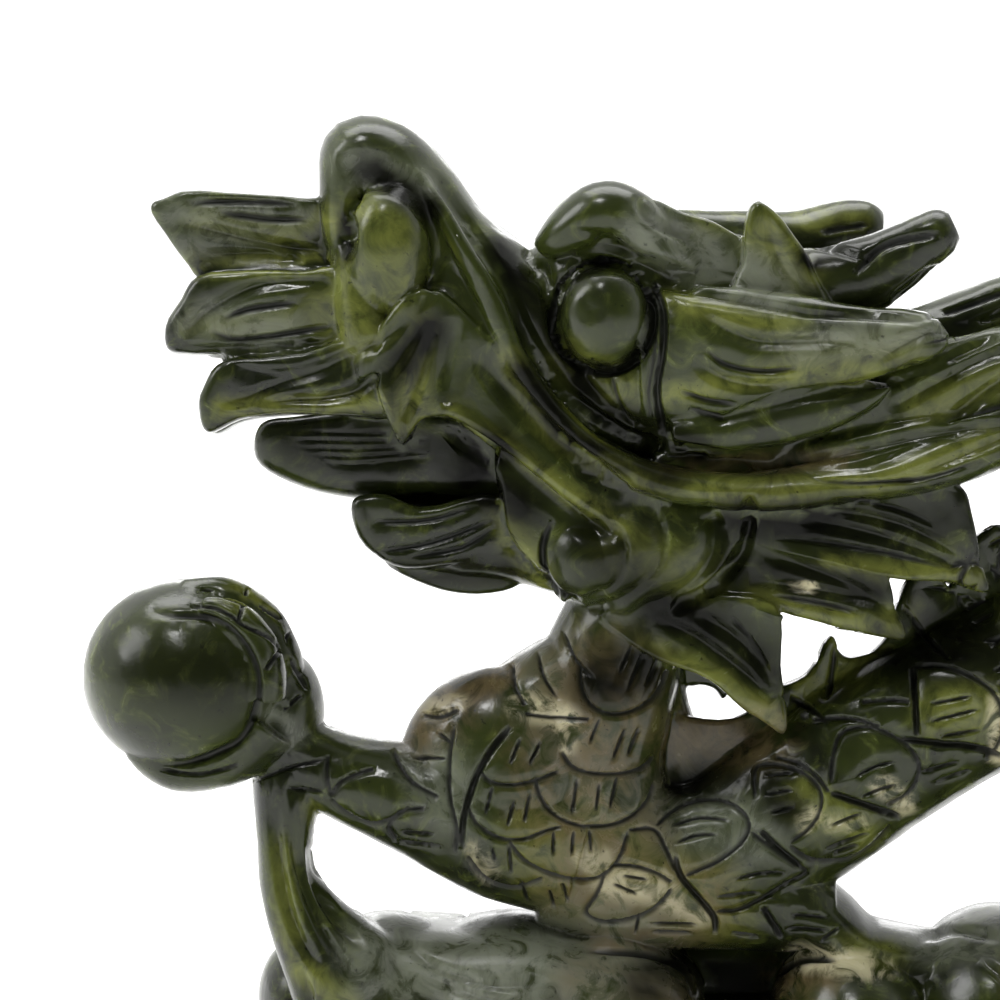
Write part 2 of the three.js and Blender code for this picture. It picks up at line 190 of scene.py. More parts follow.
# ---------- Forms ----------
class Block:
    """The block of stone: closed shapes gathered in one mesh, to be fused into a single skin."""

    RING_STEPS = 5  # rings of a limb between two rows of its spine
    ROUND_SIDES = 28
    THINNEST = 0.2  # mm
    BLADE_STEPS = 4  # points of a blade's rim between two of its outline
    BLADE_RIM = 0.8  # share of half the thickness
    BEVEL_SHARE = 0.7  # how far in the bevel starts, for the rim that it leaves
    LEAF_TIP = (0.7, 1.0)
    LEAF_SQUARE = 2.3
    EGG_SIDES = 40
    EGG_RINGS = 24

    def __init__(self, drawing: Drawing) -> None:
        """Start an empty block on a drawing."""
        self.drawing = drawing
        self.mesh = bpy.data.meshes.new("block")

    def keep(self, bm: bmesh.types.BMesh) -> None:
        """Add a finished shape to the block, with its faces outwards."""
        bmesh.ops.recalc_face_normals(bm, faces=bm.faces)
        bm.from_mesh(self.mesh)
        bm.to_mesh(self.mesh)
        bm.free()

    def bend(self, bm: bmesh.types.BMesh, places: np.ndarray) -> None:
        """Move a shape's points to their places and keep it."""
        for v, p in zip(bm.verts, places):
            v.co = p
        self.keep(bm)

    def limb(self, spine: Sequence[Ring], square: float = 2.0) -> None:
        """Add a limb: a rounded section carried along a spine, one given size at each point.

        Args:
            spine: rows of x, h, y, half width in the drawing and half depth.
            square: exponent of the section's outline, 2 for an ellipse and more for a fuller one.
        """
        rows = catmull(np.array(spine, float), self.RING_STEPS)
        centre = self.drawing.place(rows[:, :3])
        run = np.gradient(centre, axis=0)
        run /= np.linalg.norm(run, axis=1, keepdims=True)
        deep = np.array([0.0, 1.0, 0.0]) - run * run[:, 1:2]
        deep /= np.linalg.norm(deep, axis=1, keepdims=True)
        across = np.cross(run, deep)
        girth = np.maximum(rows[:, 3:5], self.THINNEST) * self.drawing.unit
        bm = bmesh.new()
        bmesh.ops.create_cone(bm, cap_ends=True, segments=self.ROUND_SIDES, radius1=1, radius2=1, depth=2)
        lengthwise = [e for e in bm.edges if abs(e.verts[0].co.z - e.verts[1].co.z) > 1]
        bmesh.ops.subdivide_edges(bm, edges=lengthwise, cuts=len(rows) - 2)
        unit = np.array([v.co for v in bm.verts])
        at = np.rint((unit[:, 2] + 1) / 2 * (len(rows) - 1)).astype(int)
        angle = np.arctan2(unit[:, 1], unit[:, 0])
        u, w = np.cos(angle), np.sin(angle)
        swell = (np.abs(u) ** square + np.abs(w) ** square) ** (-1 / square)
        place = centre[at] + across[at] * (u * swell * girth[at, 0])[:, None]
        place += deep[at] * (w * swell * girth[at, 1])[:, None]
        self.bend(bm, place)

    def leaf(self, spine: Sequence[Ring], tip: Point3) -> None:
        """Add a leaf: a limb that ends in a blunt tip."""
        self.limb([*spine, (*tip, *self.LEAF_TIP)], self.LEAF_SQUARE)

    def blade(
            self, outline: Sequence[Point2], y: float, half: float, rim: float | None = None,
            flare: float = 0.0) -> None:
        """Add a blade: an outline cut from a plate and rounded at its rim.

        Args:
            outline: rows of x, h round the blade, as they appear from before it.
            y: depth of its middle plane, at the outline's first point.
            half: half its thickness.
            rim: how much of that thickness the rounded rim takes, or BLADE_RIM of it.
            flare: how fast it goes away from the middle plane along x.
        """
        first = outline[0][0]
        side = 1 if y > 0 else -1
        edge = catmull(np.array([(x, h, 0.0) for x, h in outline]), self.BLADE_STEPS, closed=True)
        depth = np.abs(y) + flare * (edge[:, 0] - first)
        shrink = 1 - depth * math.cos(self.drawing.lean) / self.drawing.eye_distance
        edge[:, 0] *= shrink
        edge[:, 1] = self.drawing.eye_height + (edge[:, 1] - self.drawing.eye_height) * shrink
        bm = bmesh.new()
        face = bmesh.ops.create_circle(bm, cap_ends=True, segments=len(edge), radius=1)["verts"]
        face.sort(key=lambda v: math.atan2(v.co.y, v.co.x) % (2 * math.pi))
        rim = half * self.BLADE_RIM if rim is None else rim
        for v, (x, h, _) in zip(face, edge):
            v.co = (x, h, -half)
        plate = bmesh.ops.extrude_face_region(bm, geom=bm.faces[:])["geom"]
        back = [g for g in plate if isinstance(g, bmesh.types.BMVert)]
        bmesh.ops.translate(bm, verts=back, vec=(0, 0, 2 * half))
        rims = [e for e in bm.edges if e.verts[0].co.z == e.verts[1].co.z]
        bmesh.ops.bevel(
            bm, geom=rims, offset=rim * self.BEVEL_SHARE, segments=3, profile=0.5, affect="EDGES",
            material=-1, clamp_overlap=True)
        flat = np.array([v.co for v in bm.verts])
        aside = y + side * flare * (flat[:, 0] - first)
        self.bend(bm, self.drawing.place(np.stack([flat[:, 0], flat[:, 1], aside + flat[:, 2]], 1)))

    def egg(self, centre: Point3, half: Point3) -> None:
        """Add an egg shape at a point of the drawing, with half sizes along x, depth and height."""
        c = self.drawing.place(np.array([centre]))[0]
        size = np.array(half) * self.drawing.unit
        bm = bmesh.new()
        bmesh.ops.create_uvsphere(bm, u_segments=self.EGG_SIDES, v_segments=self.EGG_RINGS, radius=1)
        self.bend(bm, c + np.array([v.co for v in bm.verts]) * size)

    def fused_skin(self, name: str, grain: float) -> bpy.types.Object:
        """Fuse the shapes into one skin.

        Args:
            name: the object's name.
            grain: the skin's spacing in metres.

        Returns:
            A linked mesh object.
        """
        piece = bpy.data.objects.new(name, self.mesh)
        bpy.context.collection.objects.link(piece)
        fuse = piece.modifiers.new("fuse", "REMESH")
        fuse.mode = "VOXEL"
        fuse.voxel_size = grain
        apply_modifiers(piece)
        return piece


def apply_modifiers(piece: bpy.types.Object) -> None:
    """Make a piece's modifiers part of its mesh."""
    graph = bpy.context.evaluated_depsgraph_get()
    made = bpy.data.meshes.new_from_object(piece.evaluated_get(graph))
    old = piece.data
    piece.modifiers.clear()
    piece.data = made
    bpy.data.meshes.remove(old)


def both_sides(make: Callable[[int], None]) -> None:
    """Call a form's maker once for each side of the carving."""
    for side in (Side.NEAR, Side.FAR):
        make(side.value)


# ---------- Strokes ----------
@dataclass(frozen=True)
class Stroke:
    """One pass of a carver's wheel or burr, drawn on the setting-out drawing.

    Attributes:
        path: points of x, h.
        width: full width of the cut in mm.
        depth: how deep it goes in mm. A negative depth leaves a ridge.
        profile: its section.
        side: which side of the carving it is cut on.
        fade: share of the run over which each end rises to nothing.
        closed: whether it runs back to its start.
    """

    path: Sequence[Point2]
    width: float
    depth: float
    profile: Profile = Profile.VEE
    side: Side = Side.BOTH
    fade: float = 0.2
    closed: bool = False

    STEPS = 4  # points of the line between two of the path
    ROOT = 0.25  # how far out a vee's bottom is rounded, as a share of the half width
    DISH = 1.5  # how soon a round cut's sides level out
    STEEP = 0.35  # width of a step's steep side, as a share of the half width
    SLOPE = 3.2  # width of its long slope
    RISE = 0.6  # below 1, the ends rise late and quickly

    def line(self) -> np.ndarray:
        """The smoothed run of the stroke, as rows of x, h."""
        if len(self.path) < 3:
            return np.array(self.path, float)
        flat = np.array([(x, h, 0.0) for x, h in self.path])
        rows = catmull(flat, self.STEPS, self.closed)[:, :2]
        return np.vstack([rows, rows[:1]]) if self.closed else rows

    def reach(self) -> float:
        """How far from its line the stroke still cuts."""
        return self.width / 2 * (self.SLOPE if self.profile is Profile.STEP else 1)

    def cut(self, x: np.ndarray, h: np.ndarray) -> np.ndarray:
        """The depth that the stroke cuts at points of the drawing, in mm."""
        line = self.line()
        best = np.full(len(x), FAR_AWAY)
        signed = np.zeros(len(x))
        along = np.zeros(len(x))
        lengths = np.linalg.norm(np.diff(line, axis=0), axis=1)
        total = max(lengths.sum(), TINY)
        start = 0.0
        for a, b, length in zip(line[:-1], line[1:], lengths):
            if length < TINY:
                continue
            d = (b - a) / length
            px, ph = x - a[0], h - a[1]
            t = np.clip(px * d[0] + ph * d[1], 0, length)
            away = np.hypot(px - d[0] * t, ph - d[1] * t)
            near = away < best
            best = np.where(near, away, best)
            signed = np.where(near, px * d[1] - ph * d[0], signed)
            along = np.where(near, (start + t) / total, along)
            start += length
        ends = 1.0
        if not self.closed and self.fade > 0:
            ends = np.clip(np.minimum(along, 1 - along) / self.fade, 0, 1) ** self.RISE
        half = self.width / 2
        if self.profile is Profile.VEE:
            r = best / half
            bottom = 1 - self.ROOT / 2
            body = np.where(r < self.ROOT, bottom - r * r / (2 * self.ROOT), np.clip(1 - r, 0, 1)) / bottom
        elif self.profile is Profile.ROUND:
            body = np.clip(1 - (best / half) ** 2, 0, 1) ** self.DISH
        else:
            steep = np.clip(1 - best / (half * self.STEEP), 0, 1)
            slope = np.clip(1 - best / (half * self.SLOPE), 0, 1) ** 2
            body = np.where(signed > 0, slope, steep)
        return self.depth * body * ends


@dataclass(frozen=True)
class Hollow:
    """A dished place, or a boss where the depth is negative: an ellipse on the drawing.

    Attributes:
        centre: its middle.
        radii: its half length and half breadth in mm.
        depth: how deep its middle is, in mm.
        side: which side of the carving it is cut on.
        turn: degrees by which its length is turned up from x.
        sharp: below 1, the middle is flat and the rim steep.
    """

    centre: Point2
    radii: Point2
    depth: float
    side: Side = Side.BOTH
    turn: float = 0.0
    sharp: float = 1.0

    def line(self) -> np.ndarray:
        """The corners of the hollow's box."""
        r = max(self.radii)
        x, h = self.centre
        return np.array([(x - r, h - r), (x + r, h + r)])

    def reach(self) -> float:
        """How far past its box the hollow cuts."""
        return 0.0

    def cut(self, x: np.ndarray, h: np.ndarray) -> np.ndarray:
        """The depth that the hollow cuts at points of the drawing, in mm."""
        c, s = math.cos(math.radians(self.turn)), math.sin(math.radians(self.turn))
        dx, dh = x - self.centre[0], h - self.centre[1]
        u, w = (dx * c + dh * s) / self.radii[0], (-dx * s + dh * c) / self.radii[1]
        return self.depth * np.clip(1 - (u * u + w * w), 0, 1) ** self.sharp


Cut = Stroke | Hollow


@dataclass(frozen=True)
class Vein:
    """A streak of another colour, along a line on the drawing and with a soft edge. Some are the stone's
    own colours, and some are painted light, shade and sheen.

    Attributes:
        colour: its colour.
        path: points of x, h.
        spread: distance in mm from its line at which it is half gone.
        most: its strength along the line.
        side: which side of the carving it shows on.
    """

    colour: Patch
    path: Sequence[Point2]
    spread: float
    most: float = 1.0
    side: Side = Side.NEAR

    CORE = 0.5  # share of the spread that keeps its full strength

    def strength(self, x: np.ndarray, h: np.ndarray) -> np.ndarray:
        """How strongly the streak shows at points of the drawing."""
        points = np.array([*self.path, self.path[-1]], float)
        away = np.full(len(x), FAR_AWAY)
        for a, b in zip(points[:-1], points[1:]):
            d = b - a
            t = np.clip(((x - a[0]) * d[0] + (h - a[1]) * d[1]) / max(d @ d, TINY), 0, 1)
            away = np.minimum(away, np.hypot(x - a[0] - d[0] * t, h - a[1] - d[1] * t))
        return self.most * np.clip(1 + self.CORE - away / self.spread, 0, 1)


# ---------- Carving the skin ----------
class Carver:
    """Cuts strokes into the skin, on the layer that shows from each side, and thins the mesh afterwards."""

    CELL = 0.8  # mm, the pitch of the grid that finds the layer that shows
    LAYER = 3.0  # mm, how far behind the foremost point a place still belongs to that layer
    FRONT = 0.02  # cosine of the steepest surface that hides what is behind it
    STEEPEST = 0.35  # cosine past which a steeper surface gets no thicker layer
    TURNED_AWAY = -0.15  # cosine down to which a surface just past its rim is still cut
    REFINE_SPARE = 0.5  # mm
    DEEPEST_NOTED = 4.0  # mm
    WAVES = 14
    MOST_TRIANGLES = 196_000
    LIT_MM = 14.0  # thickness past which no light comes through
    LIT_START = 2e-4  # metres inside the skin at which its thickness is measured from
    LIT_EASE = 6

    def __init__(self, piece: bpy.types.Object, drawing: Drawing) -> None:
        """Take up a skin and its drawing."""
        self.piece = piece
        self.drawing = drawing

    def arrays(self) -> tuple[np.ndarray, np.ndarray]:
        """The skin's places in metres, and its normals."""
        mesh = self.piece.data
        co = np.empty(len(mesh.vertices) * 3)
        mesh.vertices.foreach_get("co", co)
        normals = np.empty(len(mesh.vertices) * 3)
        mesh.vertex_normals.foreach_get("vector", normals)
        return co.reshape(-1, 3), normals.reshape(-1, 3)

    def move(self, places: np.ndarray) -> None:
        """Put the skin's points in new places."""
        self.piece.data.vertices.foreach_set("co", places.ravel())
        self.piece.data.update()

    def note(self, name: str, values: np.ndarray) -> None:
        """Keep a value for each point as an attribute that the jade reads."""
        attributes = self.piece.data.attributes
        attribute = attributes.get(name) or attributes.new(name, "FLOAT", "POINT")
        attribute.data.foreach_set("value", values)

    def shown(self, places: np.ndarray, normals: np.ndarray, side: Side) -> tuple[np.ndarray, np.ndarray]:
        """Find which places show from a side.

        Args:
            places: rows of x, y, z in metres.
            normals: their normals.
            side: the side that the eye is on.

        Returns:
            The places as rows of x, h, depth on the drawing, and a mask of those that show.
        """
        seen = self.drawing.sighted(places, side)
        facing = normals @ self.drawing.facing(side)
        cell = np.floor((seen[:, :2] - seen[:, :2].min(0)) / self.CELL).astype(int) + 1
        grid = np.full(cell.max(0) + 2, FAR_AWAY)
        front = facing > self.FRONT
        order = np.flatnonzero(front)[np.argsort(-seen[front, 2])]
        grid[cell[order, 0], cell[order, 1]] = seen[order, 2]  # the foremost is written last
        near = grid.copy()
        for dx in range(3):
            for dh in range(3):
                shifted = grid[dx:grid.shape[0] - 2 + dx, dh:grid.shape[1] - 2 + dh]
                near[1:-1, 1:-1] = np.minimum(near[1:-1, 1:-1], shifted)
        layer = self.LAYER / np.clip(facing, self.STEEPEST, 1)
        return seen, (seen[:, 2] < near[cell[:, 0], cell[:, 1]] + layer) & (facing > self.TURNED_AWAY)

    def refine(self, narrow: list[Stroke]) -> None:
        """Split the skin's edges near the narrow strokes, so that their sides come out clean."""
        places, normals = self.arrays()
        close = np.zeros(len(places), bool)
        for side in (Side.NEAR, Side.FAR):
            seen, mask = self.shown(places, normals, side)
            for cut in narrow:
                if cut.side in (side, Side.BOTH):
                    near = self.within(seen, mask, cut, self.REFINE_SPARE)
                    deep = np.abs(cut.cut(seen[near, 0], seen[near, 1])) > 0
                    close[near[deep]] = True
        bm = bmesh.new()
        bm.from_mesh(self.piece.data)
        bm.verts.ensure_lookup_table()
        edges = [e for e in bm.edges if close[e.verts[0].index] or close[e.verts[1].index]]
        bmesh.ops.subdivide_edges(bm, edges=edges, cuts=1, use_grid_fill=True)
        bm.to_mesh(self.piece.data)
        bm.free()
        self.piece.data.update()

    @staticmethod
    def within(seen: np.ndarray, mask: np.ndarray, cut: Cut, spare: float = 0.0) -> np.ndarray:
        """The indices of the shown places in a cut's box, and a spare width in mm round it."""
        line = cut.line()
        lo, hi = line.min(0) - cut.reach() - spare, line.max(0) + cut.reach() + spare
        x, h = seen[:, 0], seen[:, 1]
        return np.flatnonzero(mask & (x > lo[0]) & (x < hi[0]) & (h > lo[1]) & (h < hi[1]))

    def eased(self, values: np.ndarray, rounds: int) -> np.ndarray:
        """Even out values over the skin.

        Args:
            values: one for each point.
            rounds: how often each is averaged with its neighbours.

        Returns:
            The eased values.
        """
        mesh = self.piece.data
        edges = np.empty(len(mesh.edges) * 2, int)
        mesh.edges.foreach_get("vertices", edges)
        a, b = edges.reshape(-1, 2).T
        size = len(values)
        count = np.maximum(np.bincount(a, minlength=size) + np.bincount(b, minlength=size), 1)
        for _ in range(rounds):
            total = np.bincount(a, values[b], size) + np.bincount(b, values[a], size)
            values = (values + total / count) / 2
        return values

    def swell(self, by: float) -> None:
        """Push the whole skin out by a distance in mm, to make up for what rubbing takes off."""
        places, normals = self.arrays()
        self.move(places + normals * by * self.drawing.unit)

    def carve(self, cuts: Sequence[Cut], ease: int) -> None:
        """Push the skin in along each cut. What was cut is kept in the point attribute "carved", in mm.

        Args:
            cuts: strokes and hollows.
            ease: rounds of easing, which clean the cuts where one layer passes behind another.
        """
        places, normals = self.arrays()
        depth = np.zeros(len(places))
        carved = np.zeros(len(places))
        for side in (Side.NEAR, Side.FAR):
            seen, mask = self.shown(places, normals, side)
            for cut in cuts:
                if cut.side not in (side, Side.BOTH):
                    continue
                near = self.within(seen, mask, cut)
                cutting = cut.cut(seen[near, 0], seen[near, 1])
                if isinstance(cut, Stroke):
                    deeper = np.where(np.abs(cutting) > np.abs(carved[near]), cutting, carved[near])
                    depth[near] += deeper - carved[near]
                    carved[near] = deeper
                else:
                    depth[near] += cutting
        depth = self.eased(depth, ease)
        self.move(places - normals * (depth * self.drawing.unit)[:, None])
        self.note("carved", np.clip(carved, 0, self.DEEPEST_NOTED))

    def wave(self, height: float, length: float, seed: int) -> None:
        """Leave the faint waves of hand polishing in the skin.

        Args:
            height: the waves' height in mm.
            length: their length in mm.
            seed: sets which way they run.
        """
        places, normals = self.arrays()
        rng = np.random.default_rng(seed)
        total = np.zeros(len(places))
        for _ in range(self.WAVES):
            way = rng.normal(size=3)
            way *= rng.uniform(0.6, 1.6) * 2 * math.pi / (length * self.drawing.unit * np.linalg.norm(way))
            total += np.sin(places @ way + rng.uniform(0, 2 * math.pi))
        self.move(places + normals * (total / math.sqrt(self.WAVES) * height * self.drawing.unit)[:, None])

    def soften(self, rounds: int) -> None:
        """Rub the skin down evenly."""
        rub = self.piece.modifiers.new("rub", "SMOOTH")
        rub.iterations = rounds
        rub.factor = 0.5
        apply_modifiers(self.piece)

    def thin(self) -> None:
        """Bring the mesh under its triangle limit. The carved places keep most of it."""
        mesh = self.piece.data
        corners = np.empty(len(mesh.polygons), int)
        mesh.polygons.foreach_get("loop_total", corners)
        cut = self.piece.modifiers.new("thin", "DECIMATE")
        cut.ratio = self.MOST_TRIANGLES / (corners - 2).sum()
        cut.use_collapse_triangulate = True
        apply_modifiers(self.piece)

    def saw(self) -> None:
        """Cut the skin flat at the underside and close it."""
        bm = bmesh.new()
        bm.from_mesh(self.piece.data)
        floor = self.drawing.low.z + TINY
        geom = [*bm.verts, *bm.edges, *bm.faces]
        made = bmesh.ops.bisect_plane(
            bm, geom=geom, dist=1e-7, plane_co=(0, 0, floor), plane_no=(0, 0, -1), clear_outer=True)
        edges = [g for g in made["geom_cut"] if isinstance(g, bmesh.types.BMEdge)]
        bmesh.ops.holes_fill(bm, edges=edges, sides=0)
        bmesh.ops.triangulate(bm, faces=[f for f in bm.faces if len(f.verts) > 3])
        bm.to_mesh(self.piece.data)
        bm.free()

    def fit(self) -> None:
        """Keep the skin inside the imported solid's box."""
        places, _ = self.arrays()
        self.move(np.clip(places, np.array(self.drawing.low), np.array(self.drawing.high)))

    def note_thickness(self) -> None:
        """Measure how thin the stone is behind each point, so that a glow of light through it can be
        painted into the jade there.
        """
        places, normals = self.arrays()
        faces = [tuple(p.vertices) for p in self.piece.data.polygons]
        tree = BVHTree.FromPolygons([tuple(p) for p in places], faces)
        reach = self.LIT_MM * self.drawing.unit
        thin = np.zeros(len(places))
        for i, (p, n) in enumerate(zip(places, normals)):
            inward = Vector(-n)
            hit = tree.ray_cast(Vector(p) + inward * self.LIT_START, inward, reach)
            thin[i] = 0.0 if hit[3] is None else 1 - hit[3] / reach
        self.note("thin", self.eased(thin, self.LIT_EASE))

    def note_patches(self, veins: list[Vein]) -> None:
        """Lay the stone's own colours, and the painted light, shade and sheen, into point attributes named
        for them.
        """
        places, normals = self.arrays()
        values = {colour: np.zeros(len(places)) for colour in Patch}
        for side in (Side.NEAR, Side.FAR):
            seen, mask = self.shown(places, normals, side)
            near = np.flatnonzero(mask)
            for vein in veins:
                if vein.side in (side, Side.BOTH):
                    value = values[vein.colour]
                    value[near] = np.maximum(value[near], vein.strength(seen[near, 0], seen[near, 1]))
        for colour, value in values.items():
            self.note(colour.value, value)


# ---------- Scales ----------
@dataclass(frozen=True)
class ScaleRows:
    """Overlapping scales in rows across a limb. Their rounded edges point away from the head.

    Attributes:
        spine: the limb's spine.
        start: where the rows begin, as a share of the spine's length.
        end: where they end.
        pitch: distance between rows in mm.
        lanes: scales across the side that shows.
        side: which side they are on.
        marks: short strokes on each scale.
        width: width of those strokes in mm.
        depth: depth of those strokes in mm.
    """

    spine: Spine
    start: float
    end: float
    pitch: float = 10.5
    lanes: int = 2
    side: Side = Side.FAR
    marks: int = 3
    width: float = 1.1
    depth: float = 1.0

    STEPS = 12  # points of the line between two rows of the spine
    AHEAD = 2.0  # mm, the step that the rows' direction is taken over
    EDGE_TURN = 1.45  # radians that the edge turns to either side
    EDGE_POINTS = 7
    EDGE_MORE = 1.15  # how much wider and deeper than the marks the edge is
    HALF_BREADTH = 0.54  # share of a lane, so that neighbours overlap
    LENGTH = 0.95  # share of the pitch
    MARK_SPACE = 0.19  # share of a lane

    def cuts(self, rng: np.random.Generator) -> list[Stroke]:
        """Work out the strokes of every scale."""
        rows = catmull(np.array(self.spine, float), self.STEPS)
        step = np.linalg.norm(np.diff(rows[:, :2], axis=0), axis=1)
        run = np.concatenate([[0.0], np.cumsum(step)])
        places = np.arange(self.start * run[-1], self.end * run[-1], self.pitch)
        made = []
        for row, s in enumerate(places):
            at = np.array([np.interp(s, run, rows[:, k]) for k in range(4)])
            ahead = np.array([np.interp(s + self.AHEAD, run, rows[:, k]) for k in range(2)])
            way = (ahead - at[:2]) / max(np.linalg.norm(ahead - at[:2]), TINY)
            across = np.array([-way[1], way[0]])
            breadth = 2 * at[3] / self.lanes
            for lane in np.arange(self.lanes + 1) - self.lanes / 2 + (0.5 if row % 2 else 0.0):
                centre = at[:2] + across * lane * breadth + rng.normal(0, 0.35, 2)
                made += self.scale(centre, way, across, breadth, rng)
        return made

    def scale(
            self, centre: np.ndarray, way: np.ndarray, across: np.ndarray, breadth: float,
            rng: np.random.Generator) -> list[Stroke]:
        """The rounded edge and the marks of one scale.

        Args:
            centre: where it starts, under the row before it.
            way: the direction that it points in.
            across: the direction across it.
            breadth: the lane's breadth in mm.
            rng: gives the small errors of work done by hand.

        Returns:
            Its strokes.
        """
        half, length = across * breadth * self.HALF_BREADTH, way * self.pitch * self.LENGTH
        turns = np.linspace(-self.EDGE_TURN, self.EDGE_TURN, self.EDGE_POINTS)
        edge = [tuple(centre + half * math.sin(a) + length * math.cos(a)) for a in turns]
        width, depth = self.width * self.EDGE_MORE, self.depth * self.EDGE_MORE
        made = [Stroke(edge, width, depth, Profile.STEP, self.side, fade=0.05)]
        for i in range(self.marks):
            aside = (i - (self.marks - 1) / 2) * breadth * self.MARK_SPACE + rng.normal(0, 0.2)
            begin = centre + across * aside + way * self.pitch * (0.02 + rng.uniform(-0.06, 0.06))
            stop = begin + way * self.pitch * rng.uniform(0.42, 0.56) + across * rng.normal(0, 0.25)
            made.append(Stroke([tuple(begin), tuple(stop)], self.width, self.depth, Profile.VEE, self.side,
                               fade=0.3))
        return made


# ---------- Sub-assemblies ----------
def flutes(
        paths: Sequence[Sequence[Point2]], width: float, depth: float, side: Side = Side.BOTH,
        profile: Profile = Profile.VEE, fade: float = 0.25) -> list[Stroke]:
    """Cut several strokes with one tool."""
    return [Stroke(path, width, depth, profile, side, fade) for path in paths]


